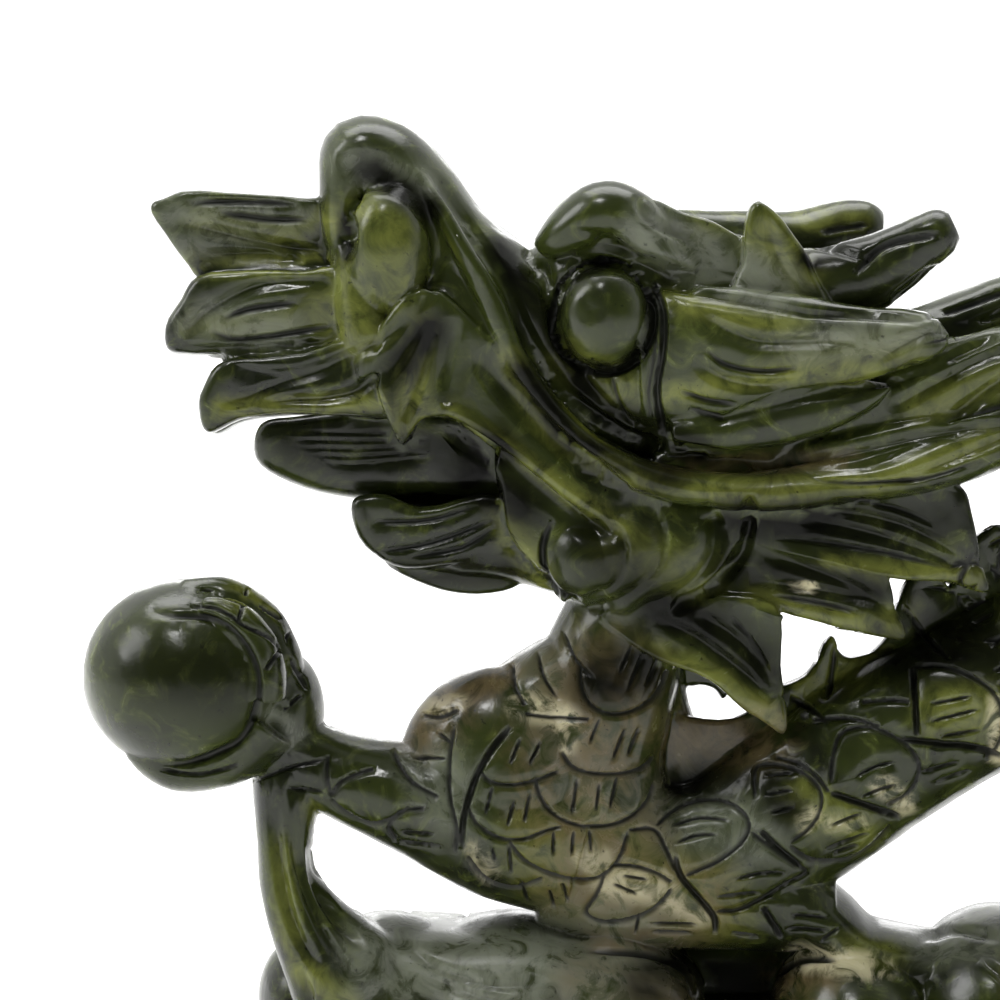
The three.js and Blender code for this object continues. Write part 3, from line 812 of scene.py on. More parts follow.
@dataclass
class Head:
    """The skull, brows, eyes, nostrils and snout ridge."""

    eye: Point3 = (21.0, 136.6, 17.0)
    eye_half: Point3 = (8.8, 7.0, 9.8)
    nostril: Point3 = (-21.8, 149.2, 12.0)
    nostril_half: Point3 = (8.6, 8.0, 12.6)
    forehead: Outline = (
        (16, 155), (22, 158.8), (29, 159.4), (36, 156.4), (42, 154.6), (48, 151), (53, 146), (62, 140.6),
        (65, 136.6), (50, 138), (36, 142), (24, 146), (14, 149))
    ridge: Spine = (
        (-17, 166, -8, 1.5, 2), (-6, 147, -14, 2.2, 3), (2, 131, -16, 2.6, 4), (12, 115, -18, 3, 4),
        (28, 105, -19, 3.2, 5), (48, 101.5, -20, 3.5, 5), (72, 104, -21, 4, 5), (92, 109, -21, 4.5, 5),
        (108, 116, -20, 1.5, 2))

    def forms(self, block: Block) -> None:
        """Build the head's shapes."""
        block.egg((30, 126, 0), (27, 20, 18))
        block.egg((38, 143, 0), (24, 17, 10))
        block.egg((20, 146, 0), (15, 16, 9))
        block.egg((-8, 137, 0), (18, 15, 14))
        block.limb([(22, 130, 0, 15, 18), (4, 138, 0, 11.5, 16), (-5, 145.4, 0, 10, 14.5),
                    (-11, 151.6, 0, 9.2, 13), (-18, 161.6, 0, 8.8, 12), (-23, 167, 0, 8.2, 11.5),
                    (-28, 168.4, 0, 7.2, 11), (-31, 161, 0, 4.6, 10.5), (-31.4, 148, 0, 2.8, 9)],
                   square=2.3)
        block.limb(self.ridge)
        both_sides(lambda side: self.eye_and_brow(block, side))

    def eye_and_brow(self, block: Block, side: int) -> None:
        """Build one side's eye, brow and nostril."""
        x, h, y = self.eye
        block.egg((x, h, side * y), self.eye_half)
        block.limb([(9, 150, side * 10, 2.6, 5), (13.4, 153, side * 12, 4.6, 7),
                    (19.6, 156.6, side * 13, 5.7, 8), (25.4, 155.6, side * 13.6, 5.2, 7),
                    (31.4, 150.6, side * 13.6, 3.8, 5.6), (38, 146, side * 13, 1.8, 3.4)])
        block.blade(self.forehead, side * 9, 6, 4.5)
        block.limb([(-28.6, 151, side * 5, 4, 7), (-28, 141, side * 7.6, 5, 8),
                    (-26, 132, side * 10.6, 5.4, 7), (-25, 124, side * 12, 3.8, 5.6)])
        block.limb([(-13, 152, side * 6, 4, 5), (-10.4, 143, side * 8.4, 5, 6),
                    (-4.4, 133.6, side * 11.6, 5, 6), (2.6, 124.6, side * 12.6, 4, 6)])
        x, h, y = self.nostril
        block.egg((x, h, side * y), self.nostril_half)
        block.limb([(-16, 142, side * 6.4, 6, 5), (-18.6, 134, side * 9.2, 7.4, 5.4),
                    (-19.4, 126, side * 11.4, 6.6, 5.4), (-18.8, 118, side * 13, 3.6, 4.4),
                    (-18.8, 111.6, side * 13.6, 1.2, 2.4)])

    def cuts(self) -> list[Cut]:
        """The head's carving."""
        ring = [(20.7 + 10.2 * math.cos(a), 136.5 + 11.3 * math.sin(a))
                for a in np.linspace(0, 2 * math.pi, 16)[:-1]]
        return [
            Stroke(ring, 2.0, 2.2, Profile.VEE, closed=True),
            Hollow((20.7, 136.5), (8.8, 10.2), -1.6, sharp=0.7),
            Hollow((18.5, 138), (2.6, 2.8), 0.7),
            Hollow((-26, 166.3), (7.5, 4.4), 1.4, turn=-12),
            Stroke([(-28, 163), (-22.2, 162), (-17, 159), (-13.2, 153.4), (-12.2, 148), (-13.6, 142.6),
                    (-17.4, 137.6)], 3.2, 0.9, Profile.ROUND, fade=0.3),
            Stroke([(-29.3, 151.5), (-31, 155.7), (-28, 161.4)], 2.4, 1.0, Profile.ROUND),
            Hollow((-30.4, 152.6), (2.0, 5.2), 2.6),
            Stroke([(-18.3, 167.1), (-12.3, 159.3), (-7.7, 151.5), (-3.1, 144.2), (0, 138.7), (3.2, 132)],
                   3.2, -1.1, Profile.ROUND),
            Stroke([(-14, 165.5), (-8.2, 158), (-3.2, 150), (1.5, 142.4), (5, 134), (9, 126.5),
                    (14, 119.5)], 4.0, 1.3, Profile.ROUND),
            *flutes([[(-18, 137), (-22, 133), (-28, 129.6), (-36, 126)],
                     [(-15.6, 136), (-18.4, 131), (-21.4, 126.6), (-24, 122.6)],
                     [(-13, 135.4), (-15, 129), (-17.2, 122), (-19, 115.6)],
                     [(-9.6, 136), (-10.8, 129), (-11.8, 122)]], 3.2, 1.5, profile=Profile.ROUND, fade=0.3),
            Stroke([(-4, 130), (-1.2, 125.2), (6.4, 116.4), (16.6, 107.4), (26, 102)], 6.6, 2.4,
                   Profile.ROUND, fade=0.2),
            Stroke([(-11.4, 118.4), (-9, 117.6), (-3.1, 114.4), (4.3, 109.1), (14.2, 101.2), (25, 94.4)],
                   3.2, -0.9, Profile.ROUND, fade=0.1),
            Stroke([(-10.9, 116.4), (-3.1, 111.8), (4.3, 106.4), (14.2, 98.6), (24, 92.4)], 3.6, 2.4,
                   Profile.STEP, fade=0.08),
            Stroke([(7.7, 151), (8.3, 147), (9.6, 141), (11, 134), (14.6, 127), (20, 120), (26, 115)], 3.6,
                   1.6, Profile.ROUND),
            Stroke([(15, 149), (22.3, 148), (28.7, 147), (33.2, 145), (39, 142), (44.6, 140.6), (53, 139.6),
                    (59.3, 138.3), (65, 136.8)], 2.6, 1.6, Profile.STEP, fade=0.1),
            Stroke([(22.3, 158.4), (24.2, 154), (28, 150.8), (33.2, 149.5), (35.7, 147)], 2.6, -0.9,
                   Profile.ROUND),
            Stroke([(12.4, 152.4), (17, 153.4), (22.4, 151.4), (28, 148.6)], 3.0, 0.9, Profile.ROUND),
            Stroke([(27.7, 161), (29, 157), (33, 154.4), (38, 153)], 3.0, 1.3, Profile.ROUND),
            Stroke([(12.8, 128.5), (16, 123.5), (21, 119), (32, 112.5)], 2.4, 1.2, Profile.VEE),
            Stroke([(22, 126), (24.2, 118.3), (26.8, 114.7)], 1.6, 0.7, Profile.VEE),
            Stroke([(30.6, 144), (32.5, 138), (32.5, 129.7), (31.3, 121.4), (32.8, 113.2)], 2.2, 1.5,
                   Profile.VEE, fade=0.1),
            Stroke([(29, 143.6), (30.9, 138), (30.9, 129.7), (29.7, 121.4), (30.6, 114.6)], 1.4, 0.7,
                   Profile.VEE),
            Stroke([(12.8, 122), (19, 116.3), (25.5, 112.5), (32, 110.6), (39.5, 109), (48.5, 107.7),
                    (57.4, 108.4), (67, 109.3), (76.5, 111.2), (86, 113.2), (100, 115)], 4.2, 2.4,
                   Profile.VEE, fade=0.08),
            Stroke([(14, 118.5), (20, 113), (28, 109), (38, 107)], 1.2, 0.6, Profile.VEE),
            Stroke([(5, 150), (7.4, 147), (7, 143.4)], 3.0, 1.5, Profile.ROUND),
        ]


@dataclass
class Whiskers:
    """The fan of flat whiskers that stands out before the nose, and the fanged upper lip."""

    lip: Outline = (
        (-24.6, 130), (-21, 138), (-14, 142), (-4, 134), (8, 120), (20, 108), (34, 103), (30, 93), (20, 93),
        (12, 99), (4, 105.6), (-4, 112.4), (-11, 116.6), (-16, 116), (-19.4, 111), (-22, 116), (-24.2, 122))
    top: Outline = (
        (-69, 158.2), (-66, 159.6), (-62.4, 161), (-50, 160.4), (-38, 159.6), (-26, 159.2), (-22, 152),
        (-26, 145), (-40, 144.6), (-59.6, 144.2), (-61.6, 146.6), (-65.6, 152))
    middle: Outline = (
        (-66, 134.6), (-63, 139.4), (-59.8, 144), (-45, 145.6), (-30, 146), (-16, 146), (-14, 128),
        (-28, 127.4), (-40, 127.8), (-54, 128.4), (-62, 128.8), (-65.8, 130))
    low: Outline = (
        (-59.6, 119.4), (-58.4, 122.8), (-55.4, 127.6), (-46, 129.4), (-36, 130.6), (-20, 133), (-10, 128),
        (-12, 119), (-24, 116.6), (-32, 117), (-42, 117.4), (-52, 116.2), (-58.2, 113.6))
    lip_depth: float = 13.5
    lip_half: float = 5.0

    def forms(self, block: Block) -> None:
        """Build the lips and the three whiskers."""
        both_sides(lambda side: block.blade(self.lip, side * self.lip_depth, self.lip_half))
        block.blade(self.top, 2, 5, 2.6)
        block.blade(self.middle, -6, 5.4, 2.8)
        both_sides(lambda side: block.blade(self.low, side * 10, 5, 2.6))

    def cuts(self) -> list[Cut]:
        """The whiskers' flutes."""
        return [
            *flutes([[(-64.4, 155.9), (-60.5, 154.5), (-53.6, 152.7), (-46.3, 151.1), (-40, 150),
                      (-34, 150)],
                     [(-63.3, 132.7), (-58.7, 137.3), (-53.6, 140.5), (-48, 142.8), (-40, 143.7),
                      (-34, 144)], [(-56, 119.4), (-51.3, 120.3), (-44.5, 123), (-35.3, 125.8), (-28, 130)],
                     [(-49, 119.2), (-40, 120), (-33, 120.5), (-28, 122), (-24.3, 125.4), (-22, 128.6)]],
                    3.2, 1.9),
            *flutes([[(-56.4, 157.5), (-50.4, 156.6), (-45, 156), (-38, 156)],
                     [(-62, 159), (-56.8, 159.6), (-47.2, 159.6), (-40.3, 159)],
                     [(-55.5, 136), (-51.3, 137.8), (-46.3, 138.7), (-40.3, 139.4)],
                     [(-58.2, 134), (-53.6, 132), (-46.3, 132.5), (-40, 133.6), (-33, 134.8)]], 2.2, 1.1),
            *flutes([[(-59.8, 149.5), (-45.8, 149.5), (-40.3, 148), (-35.7, 147)],
                     [(-64.2, 131.3), (-58.2, 130.4), (-44.5, 131), (-34, 132)],
                     [(-55, 127.7), (-44.5, 125.4), (-33, 128), (-25.2, 131.3)]], 3.6, 1.8,
                    profile=Profile.STEP),
        ]


@dataclass
class Mouth:
    """The tongue, palate, jaw and the tuft at its tip."""

    tongue: Outline = (
        (-47.6, 115), (-40, 116.4), (-26, 118), (-4, 118), (26, 112), (26, 100), (-14, 101), (-28, 100.4),
        (-42, 103.8), (-48.4, 108.4))

    def forms(self, block: Block) -> None:
        """Build the shapes inside and below the mouth."""
        block.blade(self.tongue, 0, 6)
        block.blade([(-24, 103), (-21, 113), (-8, 118), (22, 112), (20, 92), (0, 90), (-14, 94), (-22, 98)],
                    8, 4)
        block.limb([(26, 86, 0, 9, 15), (4, 91, 0, 7, 13), (-10, 91.5, 0, 6, 11.5), (-20, 93, 0, 5, 10),
                    (-27, 97, 0, 3, 7)])
        block.blade([(-23, 88), (-3, 90.4), (2, 90), (6, 85.4), (2, 82.4), (-6, 81.4), (-14, 83)], -2, 5,
                    1.4)
        block.blade([(-29.2, 100), (-23, 101), (-16, 98.4), (0, 101), (6, 94), (1, 90), (-12, 87),
                     (-21, 87), (-28, 92.6)], -9.5, 3.5)
        block.blade([(-0.6, 112), (6, 108), (14, 100), (24, 93), (13, 79.6), (10.2, 82), (5.4, 88.4),
                     (0.4, 98)], -14, 3.5, 1.6)

    def cuts(self) -> list[Cut]:
        """The mouth's carving."""
        fine = [[(-44 + 2 * i, 113.6 - 1.5 * i), (-30, 113.4 - 1.6 * i), (-14, 113 - 1.1 * i)]
                for i in range(5)]
        return [
            *flutes(fine, 0.9, 0.3, Side.NEAR),
            *flutes([[(-25.3, 89.4), (-13.5, 91.4), (-0.6, 96.3)],
                     [(-18.4, 88.4), (-7.6, 90.4), (-0.6, 94.8)], [(-26, 95.5), (-14, 96), (-4, 99)]], 1.8,
                    1.0, Side.NEAR),
            Stroke([(-0.6, 109), (-0.3, 102), (0.4, 94.3), (2.3, 90.4), (7.3, 85.4), (9.3, 82.5),
                    (12.2, 78.5)], 2.4, 1.0, Profile.ROUND, Side.NEAR),
        ]


@dataclass
class EarsAndHorns:
    """The long ears, the lobe below the near one, and the horns and spike behind the brow."""

    spike: Outline = (
        (49.6, 158), (50.8, 158.8), (52.4, 158), (55.4, 155.4), (58, 152), (60.4, 148.6), (62.6, 143.6),
        (65.6, 137), (46, 138.6), (46.6, 143.4), (48.4, 147.4), (48.4, 152))

    def forms(self, block: Block) -> None:
        """Build the ears and horns."""
        block.leaf([(34, 113, -18, 3, 4), (48, 114.4, -19, 4.6, 4), (60, 117, -20, 4.6, 4),
                    (70, 120, -21, 3.2, 3)], (76, 122.4, -22))
        both_sides(lambda side: block.leaf([
            (28, 128, side * 17, 13, 5), (44, 128.6, side * 19.6, 13, 5), (58, 130, side * 21.5, 10, 5),
            (70, 130.4, side * 23, 7.2, 4.6), (80, 131.4, side * 24.6, 5.4, 4.4),
            (84.4, 131.6, side * 25.2, 3.8, 3.4)], (87, 132, side * 25.6)))
        block.limb([(50, 142, -9, 8, 6), (62, 142, -10, 7.4, 7), (72, 144.2, -11, 7.4, 7),
                    (79, 148, -12, 6.2, 6), (84.4, 151.4, -13, 5, 5), (86.8, 152.8, -13, 4.4, 4.4),
                    (88.6, 153.6, -13, 2.8, 3)])
        block.blade(self.spike, -14, 5, 4.4)
        block.limb([(32, 153, 6, 4, 5), (36, 153, 8, 5, 6), (44, 153, 11, 5, 6), (60, 152.4, 13, 5.6, 7),
                    (70, 154.6, 14, 5.6, 5.6), (74.2, 154.6, 14, 4.9, 4.8), (76.6, 154.4, 14, 3.2, 3.2)])
        block.limb([(58, 140, 12, 8, 6), (70, 142, 13, 6, 6), (78, 146, 14, 4, 4.6), (82, 149, 14, 2, 3)])

    def cuts(self) -> list[Cut]:
        """The ears' folds and the horns' grooves."""
        return [
            Stroke([(33, 143.4), (39.5, 141.5), (51, 139.3), (60.6, 137.4), (75.3, 136.8), (84.8, 135.5)],
                   2.4, 1.5, Profile.VEE, fade=0.1),
            *flutes([[(39.5, 137.4), (44.6, 134.2), (51, 131.6), (60, 131.4), (72, 132)],
                     [(38.6, 127.8), (44.6, 124), (52.3, 122.4), (60, 123.4)]], 3.4, 1.6),
            *flutes([[(40.8, 130.4), (44.6, 127.2), (52.3, 125.6), (60, 126.4)],
                     [(35.7, 121.8), (41.5, 119.8), (47.8, 119)],
                     [(37.6, 118.3), (41.5, 117), (45.3, 116.3)]], 1.8, 1.0),
            Stroke([(41.5, 115.7), (47.2, 117.6), (54.8, 120.8), (63.8, 122.4), (73.3, 123), (79, 125.3),
                    (84.8, 128.5)], 2.4, 1.3, Profile.STEP, fade=0.1),
            Stroke([(70.8, 145), (76.5, 150.8), (88, 153.3)], 2.2, 1.4, Profile.VEE, Side.NEAR),
            Stroke([(78, 139.5), (83.5, 143.8), (88, 147)], 3.0, 1.2, Profile.ROUND, Side.NEAR),
            Stroke([(53.6, 156), (55, 150), (59.4, 142)], 2.6, 0.9, Profile.ROUND, Side.NEAR),
            Stroke([(64, 153.4), (69, 154.4), (74, 155)], 2.0, 1.0, Profile.VEE),
            Stroke([(62, 151.6), (68, 150), (73, 148)], 2.4, 1.4, Profile.VEE, Side.NEAR),
        ]


@dataclass
class Mane:
    """The locks that stream back from the head."""

    def forms(self, block: Block) -> None:
        """Build the mane's core, crest and side locks."""
        block.limb([(30, 112, 0, 20, 17), (62, 116, 0, 17, 17), (88, 121, 0, 10, 12), (104, 126, 0, 5, 6),
                    (118, 132, 0, 1.5, 2)])
        block.leaf([(70, 127, 1, 6, 9), (90, 134.4, 1, 6.4, 9), (102, 140, 1, 5, 7)], (115, 146, 1))
        both_sides(lambda side: self.locks(block, side))

    def locks(self, block: Block, side: int) -> None:
        """Build one side's two locks."""
        block.leaf([(66, 114, side * 12, 7, 6), (84, 121, side * 15, 9, 7), (98, 126, side * 16, 8, 6),
                    (111, 131, side * 17, 5, 5)], (122, 137, side * 18))
        block.leaf([(50, 103, side * 14, 5, 6), (70, 107, side * 17, 7, 7), (88, 110.8, side * 18, 7.8, 7),
                    (104, 115.6, side * 18, 6, 6), (118, 119, side * 18, 4.4, 4)], (128, 125, side * 18))

    def cuts(self) -> list[Cut]:
        """The grooves of the locks."""
        return [
            *flutes([[(73.3, 106.8), (83, 110.6), (92.5, 113.8), (100, 114.7), (112, 118), (122, 122)],
                     [(79.7, 103.6), (89.3, 107.4), (100, 112), (112, 115.6)],
                     [(86, 113.8), (94.4, 119.5), (100, 123.4), (108, 127.4), (116, 132)],
                     [(78, 118), (88, 123.6), (98, 128.6), (108, 131.6)]], 3.2, 1.8),
            *flutes([[(62, 104), (74, 103.4), (86, 104.6), (98, 108.4)],
                     [(90, 116), (99, 118.6), (108, 121.6), (118, 127)],
                     [(84, 136), (92, 138.4), (102, 142), (110, 145)],
                     [(84, 131), (92, 133), (100, 136.6)]], 1.8, 0.9),
            Stroke([(74, 127), (85.8, 133.4), (92, 134), (99, 136.4), (108, 141)], 2.8, 1.6, Profile.VEE),
            Stroke([(72, 122), (80, 124.4), (90, 128.6), (100, 133)], 2.8, 1.5, Profile.VEE),
        ]


@dataclass
class CheekAndBeard:
    """The round cheek with its rings, and the leaves of beard behind it."""

    high: Outline = (
        (42, 99), (50.8, 99.6), (63.6, 99.8), (80, 101), (91.8, 102.4), (94.2, 96.3), (95.8, 88),
        (97.6, 81.8), (94, 82.4), (90.3, 83.8), (78.5, 84.8), (63.6, 88.2), (50.8, 91.4), (42, 90))
    middle: Outline = (
        (40, 90.6), (49.8, 91), (61.6, 90.6), (75.8, 87.2), (78.8, 79.8), (81, 72.2), (77, 72.6),
        (71.5, 73.8), (59.7, 76.8), (48.8, 80), (42, 80))
    low: Outline = (
        (20, 76.8), (26, 80.6), (36, 81), (54.8, 79), (56.1, 66.6), (57.2, 53), (53.6, 55.2), (48.8, 58.4),
        (42, 64.4), (31, 68.8))

    def forms(self, block: Block) -> None:
        """Build the cheeks and the beard's leaves."""
        block.blade(self.middle, -11, 3.8, 2.4, flare=0.18)
        both_sides(lambda side: self.half(block, side))

    def half(self, block: Block, side: int) -> None:
        """Build one side's cheek and leaves."""
        block.egg((29, 91, side * 8), (20.5, 14, 14.4))
        block.egg((16.9, 88.8, side * 14.5), (7.3, 7, 8))
        block.blade(self.high, side * 11.6, 4.2, 2.6, flare=0.16)
        block.blade(self.low, side * 8.6, 4.2, 2.6, flare=0.2)

    def cuts(self) -> list[Cut]:
        """The cheek's rings and the leaves' flutes."""
        return [
            Stroke([(10.6, 96), (8.6, 91), (8.9, 86), (11.6, 81.6), (16.2, 79.8)], 2.2, 1.4, Profile.VEE),
            Stroke([(17.4, 80), (22, 82), (24.6, 86.6), (24.6, 91.6), (22, 96)], 2.4, 1.6, Profile.VEE,
                   fade=0.12),
            Stroke([(31, 99), (32.9, 94.3), (32.5, 87.4), (29, 82.5), (23, 78.5), (17.2, 78)], 3.6, 2.1,
                   Profile.STEP, fade=0.1),
            Stroke([(41, 100), (43.6, 96.3), (44.4, 92.3), (42, 85.4), (35, 79.5), (26, 76.7)], 4.2, 2.2,
                   Profile.STEP, fade=0.1),
            Stroke([(50, 101.2), (49.6, 94.3), (48.3, 89.4), (44.8, 84.4), (40, 80.5), (34, 78)], 3.4, 2.6,
                   Profile.VEE, fade=0.08),
            *flutes([[(59.7, 96.3), (73.5, 93.3), (85.4, 89.4), (93, 86)],
                     [(63.6, 98.3), (78.5, 95.3), (88, 91), (93.6, 87.4)],
                     [(49.8, 84), (58.7, 82.5), (70, 80.6), (79.4, 78.5)],
                     [(52.8, 89.4), (63.6, 85.4), (72, 81.6), (79.4, 76.5)],
                     [(31, 76.5), (40, 71.6), (48, 65.6), (54.7, 59.7)],
                     [(39, 77.5), (47.8, 71.6), (52, 66.6), (54.7, 61.7)]], 3.2, 1.7),
            *flutes([[(55, 92.6), (68, 91), (82, 88.4), (90, 86.4)], [(66, 100), (78, 98.6), (87, 95)],
                     [(46, 77), (50, 72), (53.6, 66)], [(54, 81), (64, 79.4), (72, 77.4)]], 1.8, 0.9),
            *flutes([[(50.8, 91.4), (63.6, 88.4), (78.5, 85), (90.3, 84)],
                     [(48.8, 79), (59.7, 75.5), (71.5, 73.6)],
                     [(20, 76.5), (31, 69), (42, 64.7), (48.8, 58.7)]], 1.4, -0.5, profile=Profile.ROUND),
        ]


@dataclass
class Trunk:
    """The neck and body: down behind the beard, along the base and up the back, with its fins."""

    back: Spine = (
        (36, 104, 2, 12, 14), (31, 92, 2, 12.5, 14), (26, 78, 1, 12.5, 14), (21, 63, 0, 14.5, 15),
        (16, 48, 0, 17.5, 16), (18, 34, 0, 18, 17), (28, 27, 0, 17, 17), (44, 28, 0, 16.5, 17),
        (60, 38.6, 0, 17, 17), (75, 49.2, 0, 16.9, 17), (91, 58.9, 0, 16.4, 17), (108, 68, 1, 16.5, 16.5),
        (124, 76, 2, 15.5, 16), (139, 77, 3, 14.5, 15), (151, 67, 4, 13.5, 14), (157, 50, 5, 12.5, 13.5),
        (159, 32, 6, 12, 13), (162, 14, 6, 11, 12))
    belly: Spine = (
        (10, 26, 0, 12, 15), (26, 22, 0, 12, 16), (46, 20.6, 0, 11, 15.5), (60, 19.6, 0, 10.4, 15),
        (67, 19, 0, 8, 12))
    flank: Spine = (
        (58, 20, -2, 8, 13), (66, 15.2, -2, 6.6, 13), (73, 10.2, -2, 5.6, 13), (81, 8, -2, 5.6, 13),
        (90, 5.4, -2, 7, 12))
    fins: Outline = (
        (30, 56), (44, 55.6), (50, 57), (56, 62), (62, 65), (66.6, 72.8), (69, 68.4), (74.6, 69.2),
        (78.4, 73.4), (79.4, 78), (82, 84), (87, 88), (90, 82), (94, 91), (100, 95), (103, 87), (112, 95),
        (119, 99), (118, 90), (128, 98), (137, 101), (136, 92), (155, 94), (151, 85), (168, 80), (162, 73),
        (172, 62), (162, 57), (150, 60), (130, 76), (100, 58), (70, 36), (28, 44))
    fin_half: float = 3.4
    web: Outline = (
        (36, 76), (37.6, 66), (38.4, 62.4), (41, 62.6), (44, 61.6), (45.4, 59.6), (46.6, 61.4), (49, 60),
        (51, 60.6), (52, 66), (46, 74))
    web_depth: float = 6.0
    rows_seed: int = 7

    def forms(self, block: Block) -> None:
        """Build the trunk and the fins."""
        block.limb(self.back, square=2.2)
        block.limb(self.belly, square=2.2)
        block.limb(self.flank)
        block.blade(self.fins, 1, self.fin_half)
        block.blade(self.web, self.web_depth, self.fin_half)
        block.limb([(34, 68, 4, 2.6, 6), (34.8, 60, 4, 3, 6), (36, 54, 4, 3.4, 6)])

    def near_scales(self) -> list[Stroke]:
        """The large scales of the near side, each cut one by one where the body turns over the base."""
        edges = [
            [(16, 68), (16.6, 62), (19, 58.6), (23, 57.3), (28, 58.6), (31.6, 62), (33.6, 67)],
            [(5, 57.6), (12, 56.7), (18, 56.3)],
            [(-4.4, 46.5), (-2, 43.9), (2, 43.2), (7, 44), (12, 46)],
            [(12.6, 50), (14.4, 47), (18, 45.6), (23, 45.4), (28, 46.4), (31, 49)],
            [(-6.6, 40), (-4.6, 35.6), (0, 32.6), (5, 32.4), (9, 34), (12.6, 35)],
            [(7.4, 45), (8.2, 41), (11, 37.4), (15, 35.4), (20, 34.9), (25, 36.2), (29, 39.4), (31, 44)],
            [(1.6, 32.4), (4.6, 28.4), (9, 25.8), (14.6, 24.3), (20, 24.8), (23.4, 28), (25.6, 34)],
            [(-6.6, 29), (-3, 24.6), (2.6, 22.6), (8.6, 24.5)],
            [(21.4, 26), (19.6, 21), (17.4, 17.4), (20, 15.9), (26, 16.4), (31, 18.6), (34.4, 22.6)],
            [(22.4, 27), (26.4, 27), (31, 25.7), (34.6, 23.6)],
            [(25.7, 34.2), (31, 34.4), (33.6, 30), (35.4, 25.6)],
            [(31, 34.8), (34, 38), (38.4, 40.2), (43.4, 40.4), (47.6, 38.8), (50, 35.4), (49, 32),
             (44, 27.6), (36.6, 24.3)],
            [(50, 34), (54, 31), (58, 28), (61.6, 25.4), (57.6, 23), (52.6, 20), (47, 17.5), (43, 17.4)],
            [(50.6, 40), (51, 47), (56, 47.4), (61, 45.4), (64.2, 42), (64.4, 38), (62, 34), (58, 31)],
            [(55, 49), (60, 47.6), (63.6, 44.6), (66, 41.6)],
            [(66, 43), (66.2, 48), (68, 53.6), (73, 55), (78.4, 53.2), (82.4, 50.2), (84.2, 46.6),
             (83.2, 43), (80.6, 40), (77, 38.6)],
            [(58, 31), (62, 28.4), (66, 28), (70.4, 28.6), (74.4, 31.2), (78, 35)],
            [(82, 67), (88, 67.2), (94, 65.2), (99, 61.4), (101, 56), (99.6, 50), (97, 48)],
            [(62, 56.6), (70, 56.7), (76, 55)],
            [(72, 60), (78, 60.4), (82, 60)],
        ]
        deep = [
            [(66, 41.4), (70, 40), (75, 38.2), (80.4, 36.4)],
            [(80, 52.2), (88, 51.2), (95, 50.4), (101, 48.4)],
            [(35, 29), (36, 25), (40, 20), (43, 16), (43, 13)], [(52.6, 18.6), (54.4, 15.6), (56.4, 12.2)],
            [(82.4, 67), (83, 60), (83.4, 52.6)], [(52, 34), (56, 30), (60.4, 26.4)],
            [(2.4, 55), (-1.4, 50.4), (-4.8, 44.6), (-6.6, 39), (-7.6, 34), (-7.8, 30)],
        ]
        marks = [
            [(26.4, 71), (23.8, 65)], [(28.8, 69.4), (25.4, 61.4)], [(32, 68.6), (29.2, 62.4)],
            [(4.2, 52.4), (2, 47)], [(8.4, 52), (5.8, 46.8)], [(20, 56.4), (17.8, 51)],
            [(25.2, 54.4), (22.6, 48)], [(28, 54.6), (25.6, 48.6)], [(-1.4, 43), (-2.9, 37)],
            [(3, 40), (1.4, 34.6)], [(6.2, 41.4), (4.8, 35.4)], [(15.4, 44.4), (14.4, 37)],
            [(20, 43.4), (19.2, 37.6)], [(23.6, 45), (22, 38)], [(10.8, 34), (10.7, 28.6)],
            [(14.8, 34), (14.4, 28.8)], [(18, 34), (18.2, 29.4)], [(1.8, 31), (2.3, 25)],
            [(-1.6, 30.6), (-1, 27.6)], [(4, 24), (5.6, 19.4)], [(9.8, 22), (10.8, 18.4)],
            [(12.4, 23.4), (13.8, 19.6)], [(24.4, 24.8), (29.6, 24)], [(22.6, 23.2), (27.6, 21)],
            [(34, 34.8), (39.6, 36.6), (46, 36)], [(35, 31.4), (39, 33), (43.6, 33.2)],
            [(46.8, 24), (52, 25.2), (57.4, 25.4)], [(43, 20.4), (47.6, 21), (52.6, 21.4)],
            [(53, 45), (59, 45.6)], [(53, 41.2), (58.6, 42)], [(54, 37.4), (59, 38.6)],
            [(71, 44.6), (75, 46.6), (79, 47.6)], [(72, 40.4), (76, 42), (79.4, 43)],
            [(66, 34.7), (72.4, 37.2)], [(65, 30), (74, 33.4)], [(66.6, 29.3), (72, 31)],
            [(86, 59.2), (94.4, 60.8)], [(86, 55.6), (96, 58.2)], [(88, 52.6), (96.4, 54)],
            [(84, 45.4), (92, 47.6)], [(87, 43.4), (94.4, 46)], [(30, 15.2), (39.6, 15)],
            [(30, 13.6), (39, 13.2)], [(57, 14.2), (66, 14)], [(58, 17), (66, 16.6)],
            [(28, 17.4), (27, 13)], [(64, 11.6), (68, 14.6)], [(46, 13.4), (52, 12.6)],
        ]
        return [
            *(Stroke(e, 1.15, 1.1, Profile.STEP, Side.NEAR, fade=0.04) for e in edges),
            *(Stroke(e, 1.8, 1.7, Profile.VEE, Side.NEAR, fade=0.12) for e in deep),
            *(Stroke(e, 1.05, 1.05, Profile.VEE, Side.NEAR, fade=0.22) for e in marks),
        ]

    def cuts(self) -> list[Cut]:
        """The scales and the fins' grooves."""
        rng = np.random.default_rng(self.rows_seed)
        ribs = [[(56, 61), (61, 59), (66, 55)], [(67, 71), (66.4, 65), (65, 60)],
                [(80.6, 79), (84, 74), (90, 68)], [(95, 90), (92, 84), (92, 78)],
                [(84, 83), (90, 82), (96, 80)]]
        tops = ((101, 93), (118, 97), (135, 99), (153, 92), (166, 79), (170, 63))
        far_ribs = [[(x, h), (x - 2, h - 10)] for x, h in tops]
        return [
            *self.near_scales(),
            *ScaleRows(self.back, 0.10, 0.98, side=Side.FAR).cuts(rng),
            *ScaleRows(self.back, 0.60, 0.98, side=Side.NEAR).cuts(rng),
            *flutes(ribs, 1.8, 1.0, Side.NEAR),
            *flutes(far_ribs, 1.6, 0.9),
        ]


